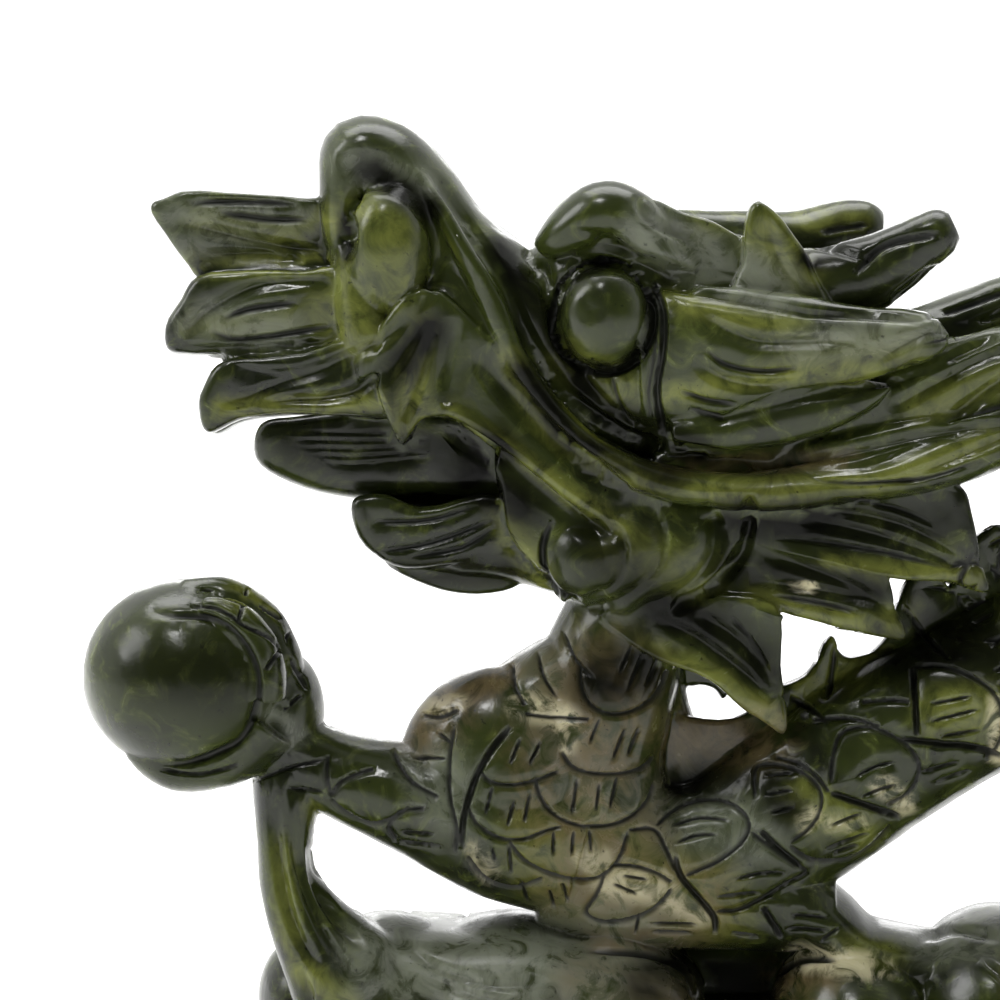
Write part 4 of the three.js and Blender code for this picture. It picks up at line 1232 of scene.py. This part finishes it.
@dataclass
class Foreleg:
    """The shoulder and the raised foreleg, the clawed hand, the pearl in it, and the fluted stem below."""

    pearl: Point3 = (-62.4, 65.0, -8.0)
    pearl_half: Point3 = (20.7, 20.0, 19.2)
    sunk: float = 0.92
    toes: tuple[tuple[float, ...], ...] = (  # depth, first and last angle, girth; the last is the thumb
        (-11, -15, 76, 5.8), (-2, -15, 92, 5.8), (8, -15, 86, 5.2), (-6, -30, -126, 9.2))
    scale_seed: int = 11
    arm: Spine = (
        (14, 32, -4, 16, 15), (0, 35.2, -6, 15.2, 15), (-11, 38.6, -8, 12.8, 13),
        (-21, 41.5, -8, 10.5, 11.5), (-33, 45.3, -8, 8.4, 9.5), (-42, 50, -8, 7.8, 9), (-52, 56, -8, 7, 8))

    JOINTS = 4
    CLAW = 0.35  # girth of the claw's tip, as a share of the toe's
    TAPER = 0.08  # share of its girth that a toe loses at each joint
    FLATTER = 0.8  # a toe's height on the pearl, as a share of its girth

    def toe(self, block: Block, depth: float, start: float, stop: float, thick: float) -> None:
        """Lay a toe on the pearl along an arc in its own plane.

        Args:
            block: the block of stone.
            depth: how far its plane lies from the pearl's middle.
            start: the angle in degrees where it begins.
            stop: the angle where its claw ends.
            thick: its half width at the hand.
        """
        x, h, y = self.pearl
        rx, ry, rz = self.pearl_half
        out = math.sqrt(1 - (depth / ry) ** 2) * self.sunk
        spine = []
        for i in range(self.JOINTS + 1):
            a = math.radians(start + (stop - start) * i / self.JOINTS)
            girth = thick * (self.CLAW if i == self.JOINTS else 1 - self.TAPER * i)
            along, up = rx * out * math.cos(a), rz * out * math.sin(a)
            spine.append((x + along, h + up, y + depth, girth * self.FLATTER, girth))
        block.limb(spine)

    def forms(self, block: Block) -> None:
        """Build the shoulder, leg, hand, pearl and stem."""
        block.egg((-0.2, 45.6, -5), (20.2, 15, 21))
        block.limb([(16, 66, 0, 9, 12), (6, 60, -2, 9, 12), (-2, 50, -4, 14, 14)])
        block.limb(self.arm)
        block.egg(self.pearl, self.pearl_half)
        for toe in self.toes:
            self.toe(block, *toe)
        block.egg((-45, 57.6, -6), (9.8, 12, 13))
        block.leaf([(-42.8, 48, -9, 6.8, 8), (-42.8, 38, -10, 6.2, 7), (-43, 30, -11, 5.4, 7),
                    (-41.2, 21, -12, 6.4, 8), (-36, 12, -13, 9.2, 9), (-28, 2, -14, 12.4, 11)],
                   (-14, -8, -14))

    def cuts(self) -> list[Cut]:
        """The scales of the leg, the joints of the toes and the stem's flutes."""
        rng = np.random.default_rng(self.scale_seed)
        near = [
            [(-21, 50.4), (-19.6, 47), (-17.4, 44), (-13.6, 41.6), (-12, 40.6)],
            [(-34, 40.6), (-32, 43.8), (-27, 46.2), (-25, 46.6)],
            [(-34, 40.4), (-30, 37), (-25.4, 35.4), (-21.6, 36.6), (-18, 39)],
            [(-34, 49), (-34.4, 45), (-33.6, 40.4)],
            [(-21, 31.4), (-22.6, 34.4), (-20.4, 37.6), (-15, 38.6)],
            [(-9, 55), (-10, 48), (-9.6, 40), (-8.4, 34), (-8.8, 29)], [(2.6, 67.4), (3.2, 63), (5.4, 59)],
            [(-15.6, 57.4), (-12, 57), (-8.6, 58.6)],
        ]
        marks = [
            [(-17.4, 48.6), (-10.6, 48.2)], [(-12.6, 53.6), (-9.4, 51)], [(-20, 33.6), (-13, 33)],
            [(-20.6, 31.6), (-11.4, 30.6)], [(-50, 43.6), (-42, 46.4), (-34, 48.4)],
            [(-42.6, 42.4), (-35, 41.4)], [(7.4, 70), (8.6, 65), (11.6, 60)],
            [(12.4, 74), (15, 68), (19, 64)],
        ]
        toes = [
            [(-62, 78.8), (-57, 78.4), (-53.4, 76.6), (-51.4, 75), (-46, 72.6), (-43.6, 70.2), (-40.6, 66),
             (-38.4, 62)], [(-60, 82.2), (-55, 80.8), (-51, 79.4), (-47, 78.2), (-43.4, 76)],
            [(-50.4, 82.6), (-51.2, 79.4), (-52.6, 75)], [(-41.8, 73.8), (-43.6, 70.2), (-47, 65.8)],
            [(-39.4, 61), (-43.4, 58)], [(-68, 46), (-60, 45), (-52, 47)],
        ]
        rim = [(-70, 77.8), (-66, 77), (-60, 76.8), (-55, 75), (-51, 71), (-48.6, 66), (-48.2, 60),
               (-50, 55), (-52, 52), (-56, 49.6), (-62, 47.4), (-68, 46.8)]
        return [
            *(Stroke(e, 1.2, 1.1, Profile.STEP, Side.NEAR, fade=0.06) for e in near),
            *(Stroke(e, 1.05, 1.05, Profile.VEE, Side.NEAR, fade=0.22) for e in marks),
            *(Stroke(e, 1.2, 1.2, Profile.VEE, Side.NEAR, fade=0.1) for e in toes),
            Stroke(rim, 2.0, 1.0, Profile.VEE, Side.NEAR, fade=0.15),
            *flutes([[(-45, 39), (-44.5, 32), (-43.5, 24), (-42, 17), (-39.5, 11), (-36, 6)],
                     [(-42, 36), (-40, 27), (-37.5, 19), (-34, 11), (-30, 5)],
                     [(-38, 31), (-36, 22), (-32, 15), (-27, 10)]], 3.0, 2.0),
            *ScaleRows(self.arm, 0.12, 0.95, 9.0, 2, Side.FAR).cuts(rng),
        ]


@dataclass
class HindLegAndTail:
    """The far end of the dragon: a clawed hind leg, and the tail with its tuft."""

    leg: Spine = (
        (146, 74, -8, 11, 10), (134, 60, -12, 11, 10), (127, 46, -14, 8, 8), (134, 34, -15, 6.5, 7),
        (136, 20, -16, 6, 7))
    tail: Spine = (
        (162, 20, 7, 11, 12), (170, 15, 7, 9, 10), (181, 19, 5, 7.4, 8.4), (187, 32, 3, 6, 7),
        (185, 48, 2, 5, 6))
    scale_seed: int = 13

    def forms(self, block: Block) -> None:
        """Build the leg, its claws, the tail and its tuft."""
        block.limb(self.leg)
        for i, y in enumerate((-22, -15, -8)):
            block.limb([(135, 21, -15, 4.6, 4), (126, 20, (y - 15) / 2, 3.6, 3.4), (118 + i, 16, y, 2, 2)])
        block.limb(self.tail)
        block.leaf([(186, 44, 2, 3.4, 4), (191, 56, 2, 4, 4), (195, 66, 2, 2.4, 3)], (196, 72, 2))
        block.leaf([(184, 50, 2, 4, 4), (186, 66, 2, 4.8, 4), (189, 80, 2, 3, 3)], (188, 92, 2))
        block.leaf([(182, 48, 2, 4, 4), (177, 62, 2, 4.8, 4), (174, 74, 2, 3, 3)], (171, 84, 2))

    def cuts(self) -> list[Cut]:
        """The scales and the tuft's flutes."""
        rng = np.random.default_rng(self.scale_seed)
        return [
            *ScaleRows(self.leg, 0.05, 0.8, 8.0, 2, Side.NEAR).cuts(rng),
            *ScaleRows(self.tail, 0.1, 0.95, 8.0, 2, Side.BOTH, marks=2).cuts(rng),
            *flutes([[(187, 46), (191, 57), (194.6, 67)], [(184.6, 52), (186.6, 66), (188.4, 86)],
                     [(181.6, 50), (177, 63), (172.6, 80)]], 2.2, 1.3),
        ]


@dataclass
class RockBase:
    """The low rocks that the dragon stands on."""

    left: float = -47.0
    right: float = 186.0
    half: float = 32.0
    top: float = -1.0
    thick: float = 12.0
    shelf: Spine = (
        (-32, 4.2, -4, 6, 14), (-27, 6.6, -4, 8, 16), (-17, 6.9, -5, 8.1, 17), (-8, 6.3, -5, 8.1, 18),
        (4, 6.6, -5, 8.3, 19), (16, 4.4, -4, 8.4, 21), (27, 2.6, -4, 7.8, 21), (34, 0, -4, 7.6, 20),
        (38.4, -3, -4, 5, 17))

    def forms(self, block: Block) -> None:
        """Build the slab and its mounds."""
        middle = self.top - self.thick
        block.limb([(self.left, middle, 0, self.thick * 0.7, self.half * 0.5),
                    (self.left + 14, middle, 0, self.thick, self.half * 0.9),
                    (50, middle, 0, self.thick, self.half),
                    (self.right - 30, middle, 0, self.thick, self.half * 0.95),
                    (self.right, middle, 0, self.thick * 0.7, self.half * 0.5)], square=2.6)
        for centre, half in (
            ((-39.2, -1, 4), (10, 14, 12)), ((-22, -2, -6), (19, 20, 18.8)),
            ((2, -2.6, -5), (22, 24, 19.4)), ((22, -4, -4), (17, 25, 19)), ((45, -2, 14), (22, 13, 19)),
            ((72, -4, -3), (17, 24, 17)), ((101, -2, -2), (19.4, 26, 19.8)), ((118, -2, 0), (20, 24, 24)),
            ((150, -4, 2), (28, 24, 22)),
        ):
            block.egg(centre, half)
        block.limb(self.shelf, square=3.0)

    def cuts(self) -> list[Cut]:
        """The swirls cut in the rocks."""
        return [
            *flutes([[(-20, 12), (-12, 6), (-2, 3), (10, 3.4)], [(-18, 6), (-8, 2), (4, -1)],
                     [(84, 12), (92, 14), (100, 12)], [(96, 8), (101, 4), (104, -2)],
                     [(108, 16), (116, 12), (124, 4)], [(140, 14), (150, 10), (158, 2)],
                     [(-40, 6), (-38, 0), (-40, -6)]], 2.6, 1.1, profile=Profile.ROUND),
            *flutes([[(16, 10), (30, 9), (37, 6), (39, 1)], [(54, 4), (60, 8), (68, 8)]], 2.0, 1.0),
        ]


# ---------- Finishes ----------
def linear(hex_colour: str) -> tuple[float, float, float, float]:
    """Turn an sRGB hex colour into linear values, fully opaque."""
    parts = [int(hex_colour[i:i + 2], 16) / 255 for i in (1, 3, 5)]
    return (*(c / 12.92 if c <= 0.04045 else ((c + 0.055) / 1.055) ** 2.4 for c in parts), 1.0)


def add_node(
        tree: bpy.types.NodeTree, kind: str, settings: dict | None = None,
        inputs: dict | None = None) -> bpy.types.Node:
    """Add a node with its settings and its links.

    Args:
        tree: the node tree.
        kind: the node's type name.
        settings: attributes to set on the node.
        inputs: for each input socket, by name or number, a value or an output socket to link.

    Returns:
        The new node.
    """
    node = tree.nodes.new(kind)
    for name, value in (settings or {}).items():
        setattr(node, name, value)
    for key, value in (inputs or {}).items():
        socket = node.inputs[key]
        if isinstance(value, Socket):
            tree.links.new(value, socket)
        else:
            socket.default_value = value
    return node


@dataclass(frozen=True)
class Jade:
    """Nephrite, a dark olive-green jade, ground with wheels and polished by hand with fine grit and wax.

    The felted fibres of the stone scatter light a little way in, so thin edges glow yellow-green and
    the thick of the block is nearly black; that glow, and the light on some lit rims, is painted into
    the colour. The wax polish gives broad grey reflections, and in places grey sheen is painted into
    the colour too, where the surface is rougher and looks frosted. Shade is painted into the recesses,
    the eye ring and the nostril, along with a few darker patches of stone, and the polish shines less
    there. The tool marks get painted shade and stay dull. The clouds, mottling and flecks have the
    sizes in mm that such stone shows. The scratches of the last grit are finer than the render can
    show, so they are drawn at 0.8 mm.
    """

    deep: str = "#14180a"
    body: str = "#2b3213"
    light: str = "#59622a"
    # lighter olive stone, also used as painted light on lit rims
    olive: str = "#6c7132"
    # painted sheen: the grey of reflections, laid into the colour
    pale: str = "#6d7162"
    # painted glow: the yellow-green laid where the stone is thin, for light shining through it
    edge: str = "#8b9238"
    cream: str = "#c6bf9d"
    tan: str = "#5f5238"
    # the black of the flecks, and of the painted shade
    fleck_and_painted_shade_black: str = "#0a0b06"
    # painted shade in the cuts
    painted_groove_shade: str = "#080a04"
    ior: float = 1.62
    shine: float = 0.24
    # the shine where shade is painted
    shine_in_painted_shade: float = 0.08
    polish: float = 0.16
    worn: float = 0.30
    frosted: float = 0.36
    dull: float = 0.5
    glow: float = 0.2
    glow_depth_mm: float = 2.5
    glow_by_colour: Point3 = (1.0, 1.2, 0.45)
    cloud_mm: float = 26.0
    mottle_mm: float = 7.0
    fleck_mm: float = 1.6
    scratch_mm: float = 0.8

    def build(self) -> bpy.types.Material:
        """Make the material."""
        material = bpy.data.materials.new("polished_nephrite")
        material.use_nodes = True
        tree = material.node_tree
        tree.nodes.clear()
        place = add_node(tree, "ShaderNodeTexCoord").outputs["Object"]

        def noise(size_mm: float, detail: float, roughness: float, distortion: float = 0.0) -> Socket:
            """A noise whose lumps are about a size in millimetres."""
            return add_node(tree, "ShaderNodeTexNoise", inputs={
                "Vector": place, "Scale": MM_IN_METRE / size_mm, "Detail": detail,
                "Roughness": roughness, "Distortion": distortion}).outputs["Fac"]

        def ramp(value: Socket, low: float, high: float) -> Socket:
            """Spread a range of values over 0 to 1, softly."""
            return add_node(tree, "ShaderNodeMapRange", {"interpolation_type": "SMOOTHSTEP"}, {
                "Value": value, "From Min": low, "From Max": high}).outputs["Result"]

        def times(a: Socket, b: Socket | float) -> Socket:
            """The product of two values, kept between 0 and 1."""
            settings = {"operation": "MULTIPLY", "use_clamp": True}
            return add_node(tree, "ShaderNodeMath", settings, {0: a, 1: b}).outputs[0]

        def lay(under: Socket | tuple, over: tuple, amount: Socket) -> Socket:
            """One colour laid over another."""
            return add_node(tree, "ShaderNodeMix", {"data_type": "RGBA"}, {
                "Factor": amount, "A": under, "B": over}).outputs["Result"]

        def blend(a: Socket | float, b: float, amount: Socket) -> Socket:
            """One value that turns into another by an amount."""
            return add_node(tree, "ShaderNodeMix", {"data_type": "FLOAT"}, {
                "Factor": amount, "A": a, "B": b}).outputs["Result"]

        def noted(name: str) -> Socket:
            """A value kept on the mesh."""
            return add_node(tree, "ShaderNodeAttribute", {"attribute_name": name}).outputs["Fac"]

        cloud = noise(self.cloud_mm, 4, 0.55, 0.6)
        mottle = noise(self.mottle_mm, 6, 0.62, 1.2)
        fleck = noise(self.fleck_mm, 3, 0.6)
        colour = lay(linear(self.deep), linear(self.body), ramp(cloud, 0.34, 0.6))
        colour = lay(colour, linear(self.light), times(ramp(mottle, 0.5, 0.8), 0.75))
        # Painted glow: thin stone is laid over with yellow-green, for light that shines through it.
        thin = noted("thin")
        colour = lay(colour, linear(self.edge), times(ramp(thin, 0.5, 1.0), 0.8))
        # Olive: partly lighter stone, partly painted light on lit rims and thin leaf edges.
        olive = times(noted("olive"), ramp(mottle, 0.25, 0.6))
        colour = lay(colour, linear(self.olive), times(olive, 0.75))
        # Painted sheen: grey reflection laid into the colour; the surface is made rougher there too.
        pale = times(noted("pale"), ramp(mottle, 0.25, 0.6))
        colour = lay(colour, linear(self.pale), pale)
        tan = times(noted("tan"), ramp(mottle, 0.3, 0.62))
        colour = lay(colour, linear(self.tan), times(tan, 0.8))
        # Painted shade in recesses, crevices, the eye ring and the nostril, and a few darker patches of
        # stone.
        dark = times(noted("dark"), ramp(cloud, 0.2, 0.6))
        colour = lay(colour, linear(self.fleck_and_painted_shade_black), dark)
        broken = times(noted("cream"), ramp(mottle, 0.3, 0.58))
        colour = lay(colour, linear(self.cream), times(ramp(broken, 0.1, 1.0), 0.85))
        colour = lay(colour, linear(self.fleck_and_painted_shade_black), times(ramp(fleck, 0.66, 0.74), 0.7))
        # Painted shade in the cuts: the carved places are darkened nearly to black, and made duller.
        carved = ramp(noted("carved"), 0.1, 0.8)
        colour = lay(colour, linear(self.painted_groove_shade), times(carved, 0.92))

        rough = add_node(tree, "ShaderNodeMapRange", inputs={
            "Value": mottle, "From Min": 0.3, "From Max": 0.75, "To Min": self.polish,
            "To Max": self.worn}).outputs["Result"]
        rough = blend(rough, self.frosted, pale)
        rough = blend(rough, self.dull, carved)
        # The shine is lowered where shade is painted, to darken those places further.
        shine = blend(self.shine, self.shine_in_painted_shade, dark)
        scratch = add_node(tree, "ShaderNodeBump", inputs={
            "Strength": 0.1, "Distance": 0.0002, "Height": noise(self.scratch_mm, 3, 0.6)})
        ripple = add_node(tree, "ShaderNodeBump", inputs={
            "Strength": 0.25, "Distance": 0.0004, "Height": mottle, "Normal": scratch.outputs["Normal"]})
        shader = add_node(tree, "ShaderNodeBsdfPrincipled", {"subsurface_method": "RANDOM_WALK"}, {
            "Base Color": colour, "Roughness": rough, "IOR": self.ior, "Specular IOR Level": shine,
            "Subsurface Weight": self.glow, "Subsurface Radius": self.glow_by_colour,
            "Subsurface Scale": self.glow_depth_mm / MM_IN_METRE, "Normal": ripple.outputs["Normal"]})
        add_node(tree, "ShaderNodeOutputMaterial", inputs={"Surface": shader.outputs["BSDF"]})
        return material


@dataclass
class DragonCarving:
    """The whole carving: one block of jade.

    Attributes:
        drawing: its setting-out drawing.
        grain_mm: spacing of the skin before it is carved.
        rubbing: rounds of smoothing after the forms are fused.
        swell_mm: how far the skin is pushed out for what that rubs away.
        wave_mm: height of the waves that hand polishing leaves.
        wave_length_mm: their length.
        wave_seed: sets which way they run.
        broad_mm: wider cuts are made first, and then rubbed.
        broad_ease: rounds of easing for the wide cuts.
        narrow_ease: rounds of easing for the narrow ones.
        parts: the sub-assemblies.
    """

    drawing: Drawing
    grain_mm: float = 0.5
    rubbing: int = 3
    swell_mm: float = 0.2
    wave_mm: float = 0.08
    wave_length_mm: float = 9.0
    wave_seed: int = 3
    broad_mm: float = 2.2
    broad_ease: int = 3
    narrow_ease: int = 1
    parts: list = field(default_factory=lambda: [
        Head(), Whiskers(), Mouth(), EarsAndHorns(), Mane(), CheekAndBeard(), Trunk(), Foreleg(),
        HindLegAndTail(), RockBase()])

    def veins(self) -> list[Vein]:
        """The stone's own streaks, where this block has them, and the streaks of painted light, shade and
        sheen.
        """
        streaks = {
            Patch.CREAM: (
                ([(4, 59), (13, 56.6)], 3.0, 0.8), ([(12.6, 56), (13.6, 51)], 2.0, 0.8),
                ([(-14, 58), (-8, 59.4)], 2.4, 0.55), ([(22, 24), (31, 22.4)], 4.2, 0.65),
                ([(34, 20.6), (40, 17)], 3.0, 0.6), ([(16, 28), (20, 30)], 2.2, 0.6),
                ([(-5, 30), (-2, 25)], 2.4, 0.55), ([(61, 35), (63, 36.6)], 2.0, 0.7),
                ([(66, 34.6), (73, 35.6)], 1.8, 0.6), ([(76, 43.6), (81, 39)], 2.4, 0.8),
                ([(99.4, 59), (100, 49)], 2.0), ([(60, 8.4), (76, 6.6)], 3.0, 0.85),
                ([(60, 82.4), (62, 82.8)], 1.2),
            ),
            # partly lighter olive stone, partly painted light on lit rims and thin leaf edges
            Patch.OLIVE: (
                ([(-30, 146), (-28, 134)], 3.4, 0.7), ([(-62, 147), (-36, 147)], 2.4),
                ([(-26, 158), (-21, 152), (-22, 142)], 5, 0.7), ([(-34, 138), (-28, 134)], 5, 0.8),
                ([(-56, 118.6), (-40, 119), (-24, 120)], 1.8), ([(-60, 156), (-44, 153), (-34, 156)], 2.4),
                ([(-62, 135), (-50, 135), (-38, 137)], 2.0, 0.8), ([(-16, 134), (-18, 116)], 3),
                ([(2, 128), (10, 114), (26, 104.6), (50, 101.4), (76, 104), (98, 112)], 2.4),
                ([(60, 129), (82, 131)], 3.4, 0.7), ([(34, 140), (60, 134)], 2),
                ([(14, 128), (24, 122)], 4, 0.8), ([(52, 154), (60, 146)], 4),
                ([(40, 156), (72, 156)], 2.4, 0.8), ([(66, 87.6), (80, 86), (95, 84.6)], 1.6),
                ([(50, 81.4), (64, 77), (79, 74.6)], 1.8), ([(30, 71), (44, 64.6), (55, 56)], 2),
                ([(84, 118), (100, 124)], 3, 0.8), ([(60, 62), (70, 66), (80, 76)], 3),
                ([(60, 40), (72, 34)], 4), ([(88, 58), (98, 58)], 5), ([(-46, 80), (-52, 81)], 3),
                ([(-44, 30), (-42, 12)], 2.4, 0.7), ([(-40, 6), (-30, 0)], 2.4),
                ([(-38, 38.6), (-36, 36)], 1.6), ([(70, 10), (78, 9)], 3),
                ([(10, 30), (20, 22), (42, 18)], 8), ([(18, 36), (26, 30)], 5), ([(0, 98), (8, 84)], 3),
                ([(24, 90), (40, 84)], 5, 0.5),
                ([(-10, 118), (-3, 114), (4, 109), (14, 101), (25, 94)], 1.8),
                ([(34, 121), (46, 123.6), (60, 125.6), (74, 126)], 2.2),
            ),
            # painted sheen: grey reflection and highlights laid into the colour
            Patch.PALE: (
                ([(-66, 158), (-40, 156)], 2.6, 0.6), ([(-20, 8), (4, 5), (26, 10)], 10),
                ([(-30, 167), (-16, 162)], 4, 0.6), ([(60, 131), (84, 134)], 3.4, 0.7),
                ([(30, 154), (42, 148), (54, 143)], 5, 0.8), ([(86, 12), (100, 14)], 5, 0.6),
                ([(-62, 150), (-44, 158)], 4, 0.6), ([(-62, 137), (-44, 134)], 4, 0.6),
                ([(8, 66), (18, 40), (50, 34)], 7, 0.5), ([(-14, 48), (-10, 40)], 6, 0.6),
                ([(-44.6, 57), (-42, 53)], 2.4, 0.8),
            ),
            Patch.TAN: (
                ([(18, 60), (16, 44), (20, 30)], 13), ([(14, 24), (40, 20)], 7), ([(38, 52), (52, 52)], 6),
                ([(-16, 54), (-8, 60)], 5), ([(34, 107), (70, 108)], 2, 0.7), ([(20, 12), (40, 12)], 3),
                ([(130, 76), (150, 66)], 8), ([(108, 4), (134, 6)], 6), ([(16, 4), (34, 2)], 5, 0.7),
                ([(56, 4), (64, 4)], 4), ([(-6, 60), (2, 66)], 3),
            ),
            # painted shade in recesses, crevices, the eye ring and the nostril, and a few darker patches of
            # stone
            Patch.DARK: (
                ([(20.7, 147), (12.4, 143), (10.6, 134), (15.4, 127), (24, 126), (30.4, 133), (29.6, 141)],
                 1.3),
                ([(-30.6, 149), (-30.4, 156)], 1.6), ([(31, 4), (49, 4)], 6), ([(20, 64), (28, 66)], 6),
                ([(36, 43), (50, 44)], 3.6), ([(80, 70), (98, 72)], 7), ([(-70, 66), (-56, 64)], 8, 0.7),
                ([(48, 96), (88, 94.6)], 5), ([(46, 86), (74, 82)], 4), ([(-40, 112), (0, 110)], 5),
                ([(-20, 86), (2, 86)], 3), ([(-26, 166), (-14, 158)], 3),
                ([(0, 150), (8, 136), (20, 118), (40, 110)], 3), ([(18, 92), (28, 84)], 6, 0.8),
                ([(32, 78), (42, 75), (53, 66)], 5), ([(-6, 104), (4, 98)], 6),
                ([(-20, 126), (-14, 134)], 4), ([(4, 126), (14, 112), (30, 104)], 3),
                ([(20, 108), (34, 106)], 4), ([(84, 94), (92, 98)], 4), ([(54, 44), (58, 38)], 4),
                ([(62, 148), (72, 150)], 3),
            ),
        }
        near = [Vein(colour, *streak) for colour, rows in streaks.items() for streak in rows]
        return [*near, Vein(Patch.TAN, [(30, 70), (30, 46)], 16, side=Side.FAR)]

    def build(self, finish: Jade) -> bpy.types.Object:
        """Build, carve and dress the carving.

        Args:
            finish: the stone.

        Returns:
            The finished piece.
        """
        block = Block(self.drawing)
        for part in self.parts:
            part.forms(block)
        piece = block.fused_skin("jade_dragon", self.grain_mm * self.drawing.unit)
        log.info("skin: %d points", len(piece.data.vertices))
        carver = Carver(piece, self.drawing)
        carver.soften(self.rubbing)
        carver.swell(self.swell_mm)
        carver.wave(self.wave_mm, self.wave_length_mm, self.wave_seed)
        cuts = [cut for part in self.parts for cut in part.cuts()]
        broad = [c for c in cuts if isinstance(c, Hollow) or c.width > self.broad_mm]
        narrow = [c for c in cuts if isinstance(c, Stroke) and c.width <= self.broad_mm]
        carver.carve(broad, self.broad_ease)
        carver.soften(1)
        carver.refine(narrow)
        carver.carve(narrow, self.narrow_ease)
        log.info("carved: %d points, %d cuts", len(piece.data.vertices), len(cuts))
        carver.thin()
        carver.saw()
        carver.fit()
        carver.note_thickness()
        carver.note_patches(self.veins())
        for polygon in piece.data.polygons:
            polygon.use_smooth = True
        piece.data.materials.append(finish.build())
        log.info("finished: %d triangles", len(piece.data.polygons))
        return piece


# ---------- Studio ----------
@dataclass(frozen=True)
class Studio:
    """A pale floor, soft light from above and a camera before the near side, a little above."""

    drawing: Drawing
    elevation: float = math.radians(10.0)
    distance: float = 1.0
    lens: float = 180.0
    sensor: float = 36.0
    floor: str = "#fbfbfa"
    air: str = "#fefefe"
    dark_way: Point3 = (0.0, -0.94, 0.34)
    bright: float = 1.32
    dark: float = 0.08
    backdrop: Point3 = (0.0, 2.7, 0.0)

    def target(self) -> Vector:
        """The point that the camera looks at: the middle of the drawing's frame."""
        return Vector(self.drawing.place(np.array([(0.0, self.drawing.eye_height, 0.0)]))[0])

    def camera(self) -> None:
        """Set up the camera."""
        data = bpy.data.cameras.new("camera")
        data.lens, data.sensor_width = self.lens, self.sensor
        data.clip_end = 20.0
        camera = bpy.data.objects.new("camera", data)
        bpy.context.collection.objects.link(camera)
        back = Vector((0, -math.cos(self.elevation), math.sin(self.elevation)))
        camera.location = self.target() + back * self.distance
        camera.rotation_euler = (math.pi / 2 - self.elevation, 0, 0)
        bpy.context.scene.camera = camera

    def lay_floor(self) -> None:
        """Lay the floor."""
        bm = bmesh.new()
        bmesh.ops.create_grid(bm, x_segments=1, y_segments=1, size=12)
        bmesh.ops.translate(bm, verts=bm.verts, vec=(0, 0, self.drawing.low.z))
        mesh = bpy.data.meshes.new("floor")
        bm.to_mesh(mesh)
        bm.free()
        material = bpy.data.materials.new("matt_paper")
        material.use_nodes = True
        shader = material.node_tree.nodes["Principled BSDF"]
        shader.inputs["Base Color"].default_value = linear(self.floor)
        shader.inputs["Roughness"].default_value = 0.9
        shader.inputs["Specular IOR Level"].default_value = 0.1
        mesh.materials.append(material)
        floor = bpy.data.objects.new("floor", mesh)
        bpy.context.collection.objects.link(floor)

    def light(self, name: str, place: Point3, size: Point2, power: float, aim: Vector) -> None:
        """Hang one soft box, aimed at a point.

        Args:
            name: its name.
            place: where it hangs, in metres from its aim.
            size: its sides in metres.
            power: its power in watts.
            aim: the point that it faces.
        """
        data = bpy.data.lights.new(name, "AREA")
        data.shape = "RECTANGLE"
        data.size, data.size_y = size
        data.energy = power
        lamp = bpy.data.objects.new(name, data)
        bpy.context.collection.objects.link(lamp)
        lamp.location = aim + Vector(place)
        lamp.rotation_euler = (-Vector(place)).to_track_quat("-Z", "Y").to_euler()

    def surround(self) -> None:
        """Light the room evenly, but for the darker side that the camera stands on.

        The polish mirrors that dark side, which gives the stone its depth.
        """
        world = bpy.data.worlds.new("studio")
        bpy.context.scene.world = world
        world.use_nodes = True
        tree = world.node_tree
        way = add_node(tree, "ShaderNodeTexCoord").outputs["Generated"]
        ahead = add_node(tree, "ShaderNodeVectorMath", {"operation": "DOT_PRODUCT"},
                         {0: way, 1: self.dark_way})
        light = add_node(tree, "ShaderNodeMapRange", {"interpolation_type": "SMOOTHSTEP"}, {
            "Value": ahead.outputs["Value"], "From Min": 0.1, "From Max": 0.75, "To Min": self.bright,
            "To Max": self.dark})
        background = tree.nodes["Background"]
        background.inputs["Color"].default_value = linear(self.air)
        tree.links.new(light.outputs["Result"], background.inputs["Strength"])

    def build(self) -> None:
        """Set up floor, lights, world and camera."""
        self.lay_floor()
        self.camera()
        aim = self.target()
        self.light("overhead", (0.0, 0.45, 1.4), (1.5, 0.9), 26, aim)
        self.light("window", (-1.1, -0.25, 0.75), (0.5, 0.7), 9, aim)
        self.light("lamp", (-0.25, -0.55, 1.1), (0.12, 0.12), 4, aim)
        self.light("backdrop", (0.0, 2.6, 1.2), (3.0, 1.2), 45, Vector(self.backdrop))
        self.surround()
        bpy.context.scene.view_settings.view_transform = "Standard"


def main() -> None:
    """Build the carving and its studio."""
    logging.basicConfig(level=logging.INFO, format="%(name)s: %(message)s")
    drawing = Drawing(*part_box(NODE))
    piece = DragonCarving(drawing).build(Jade())
    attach(piece, BODY)
    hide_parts(NODE)
    Studio(drawing).build()


if __name__ == "__main__":
    main()
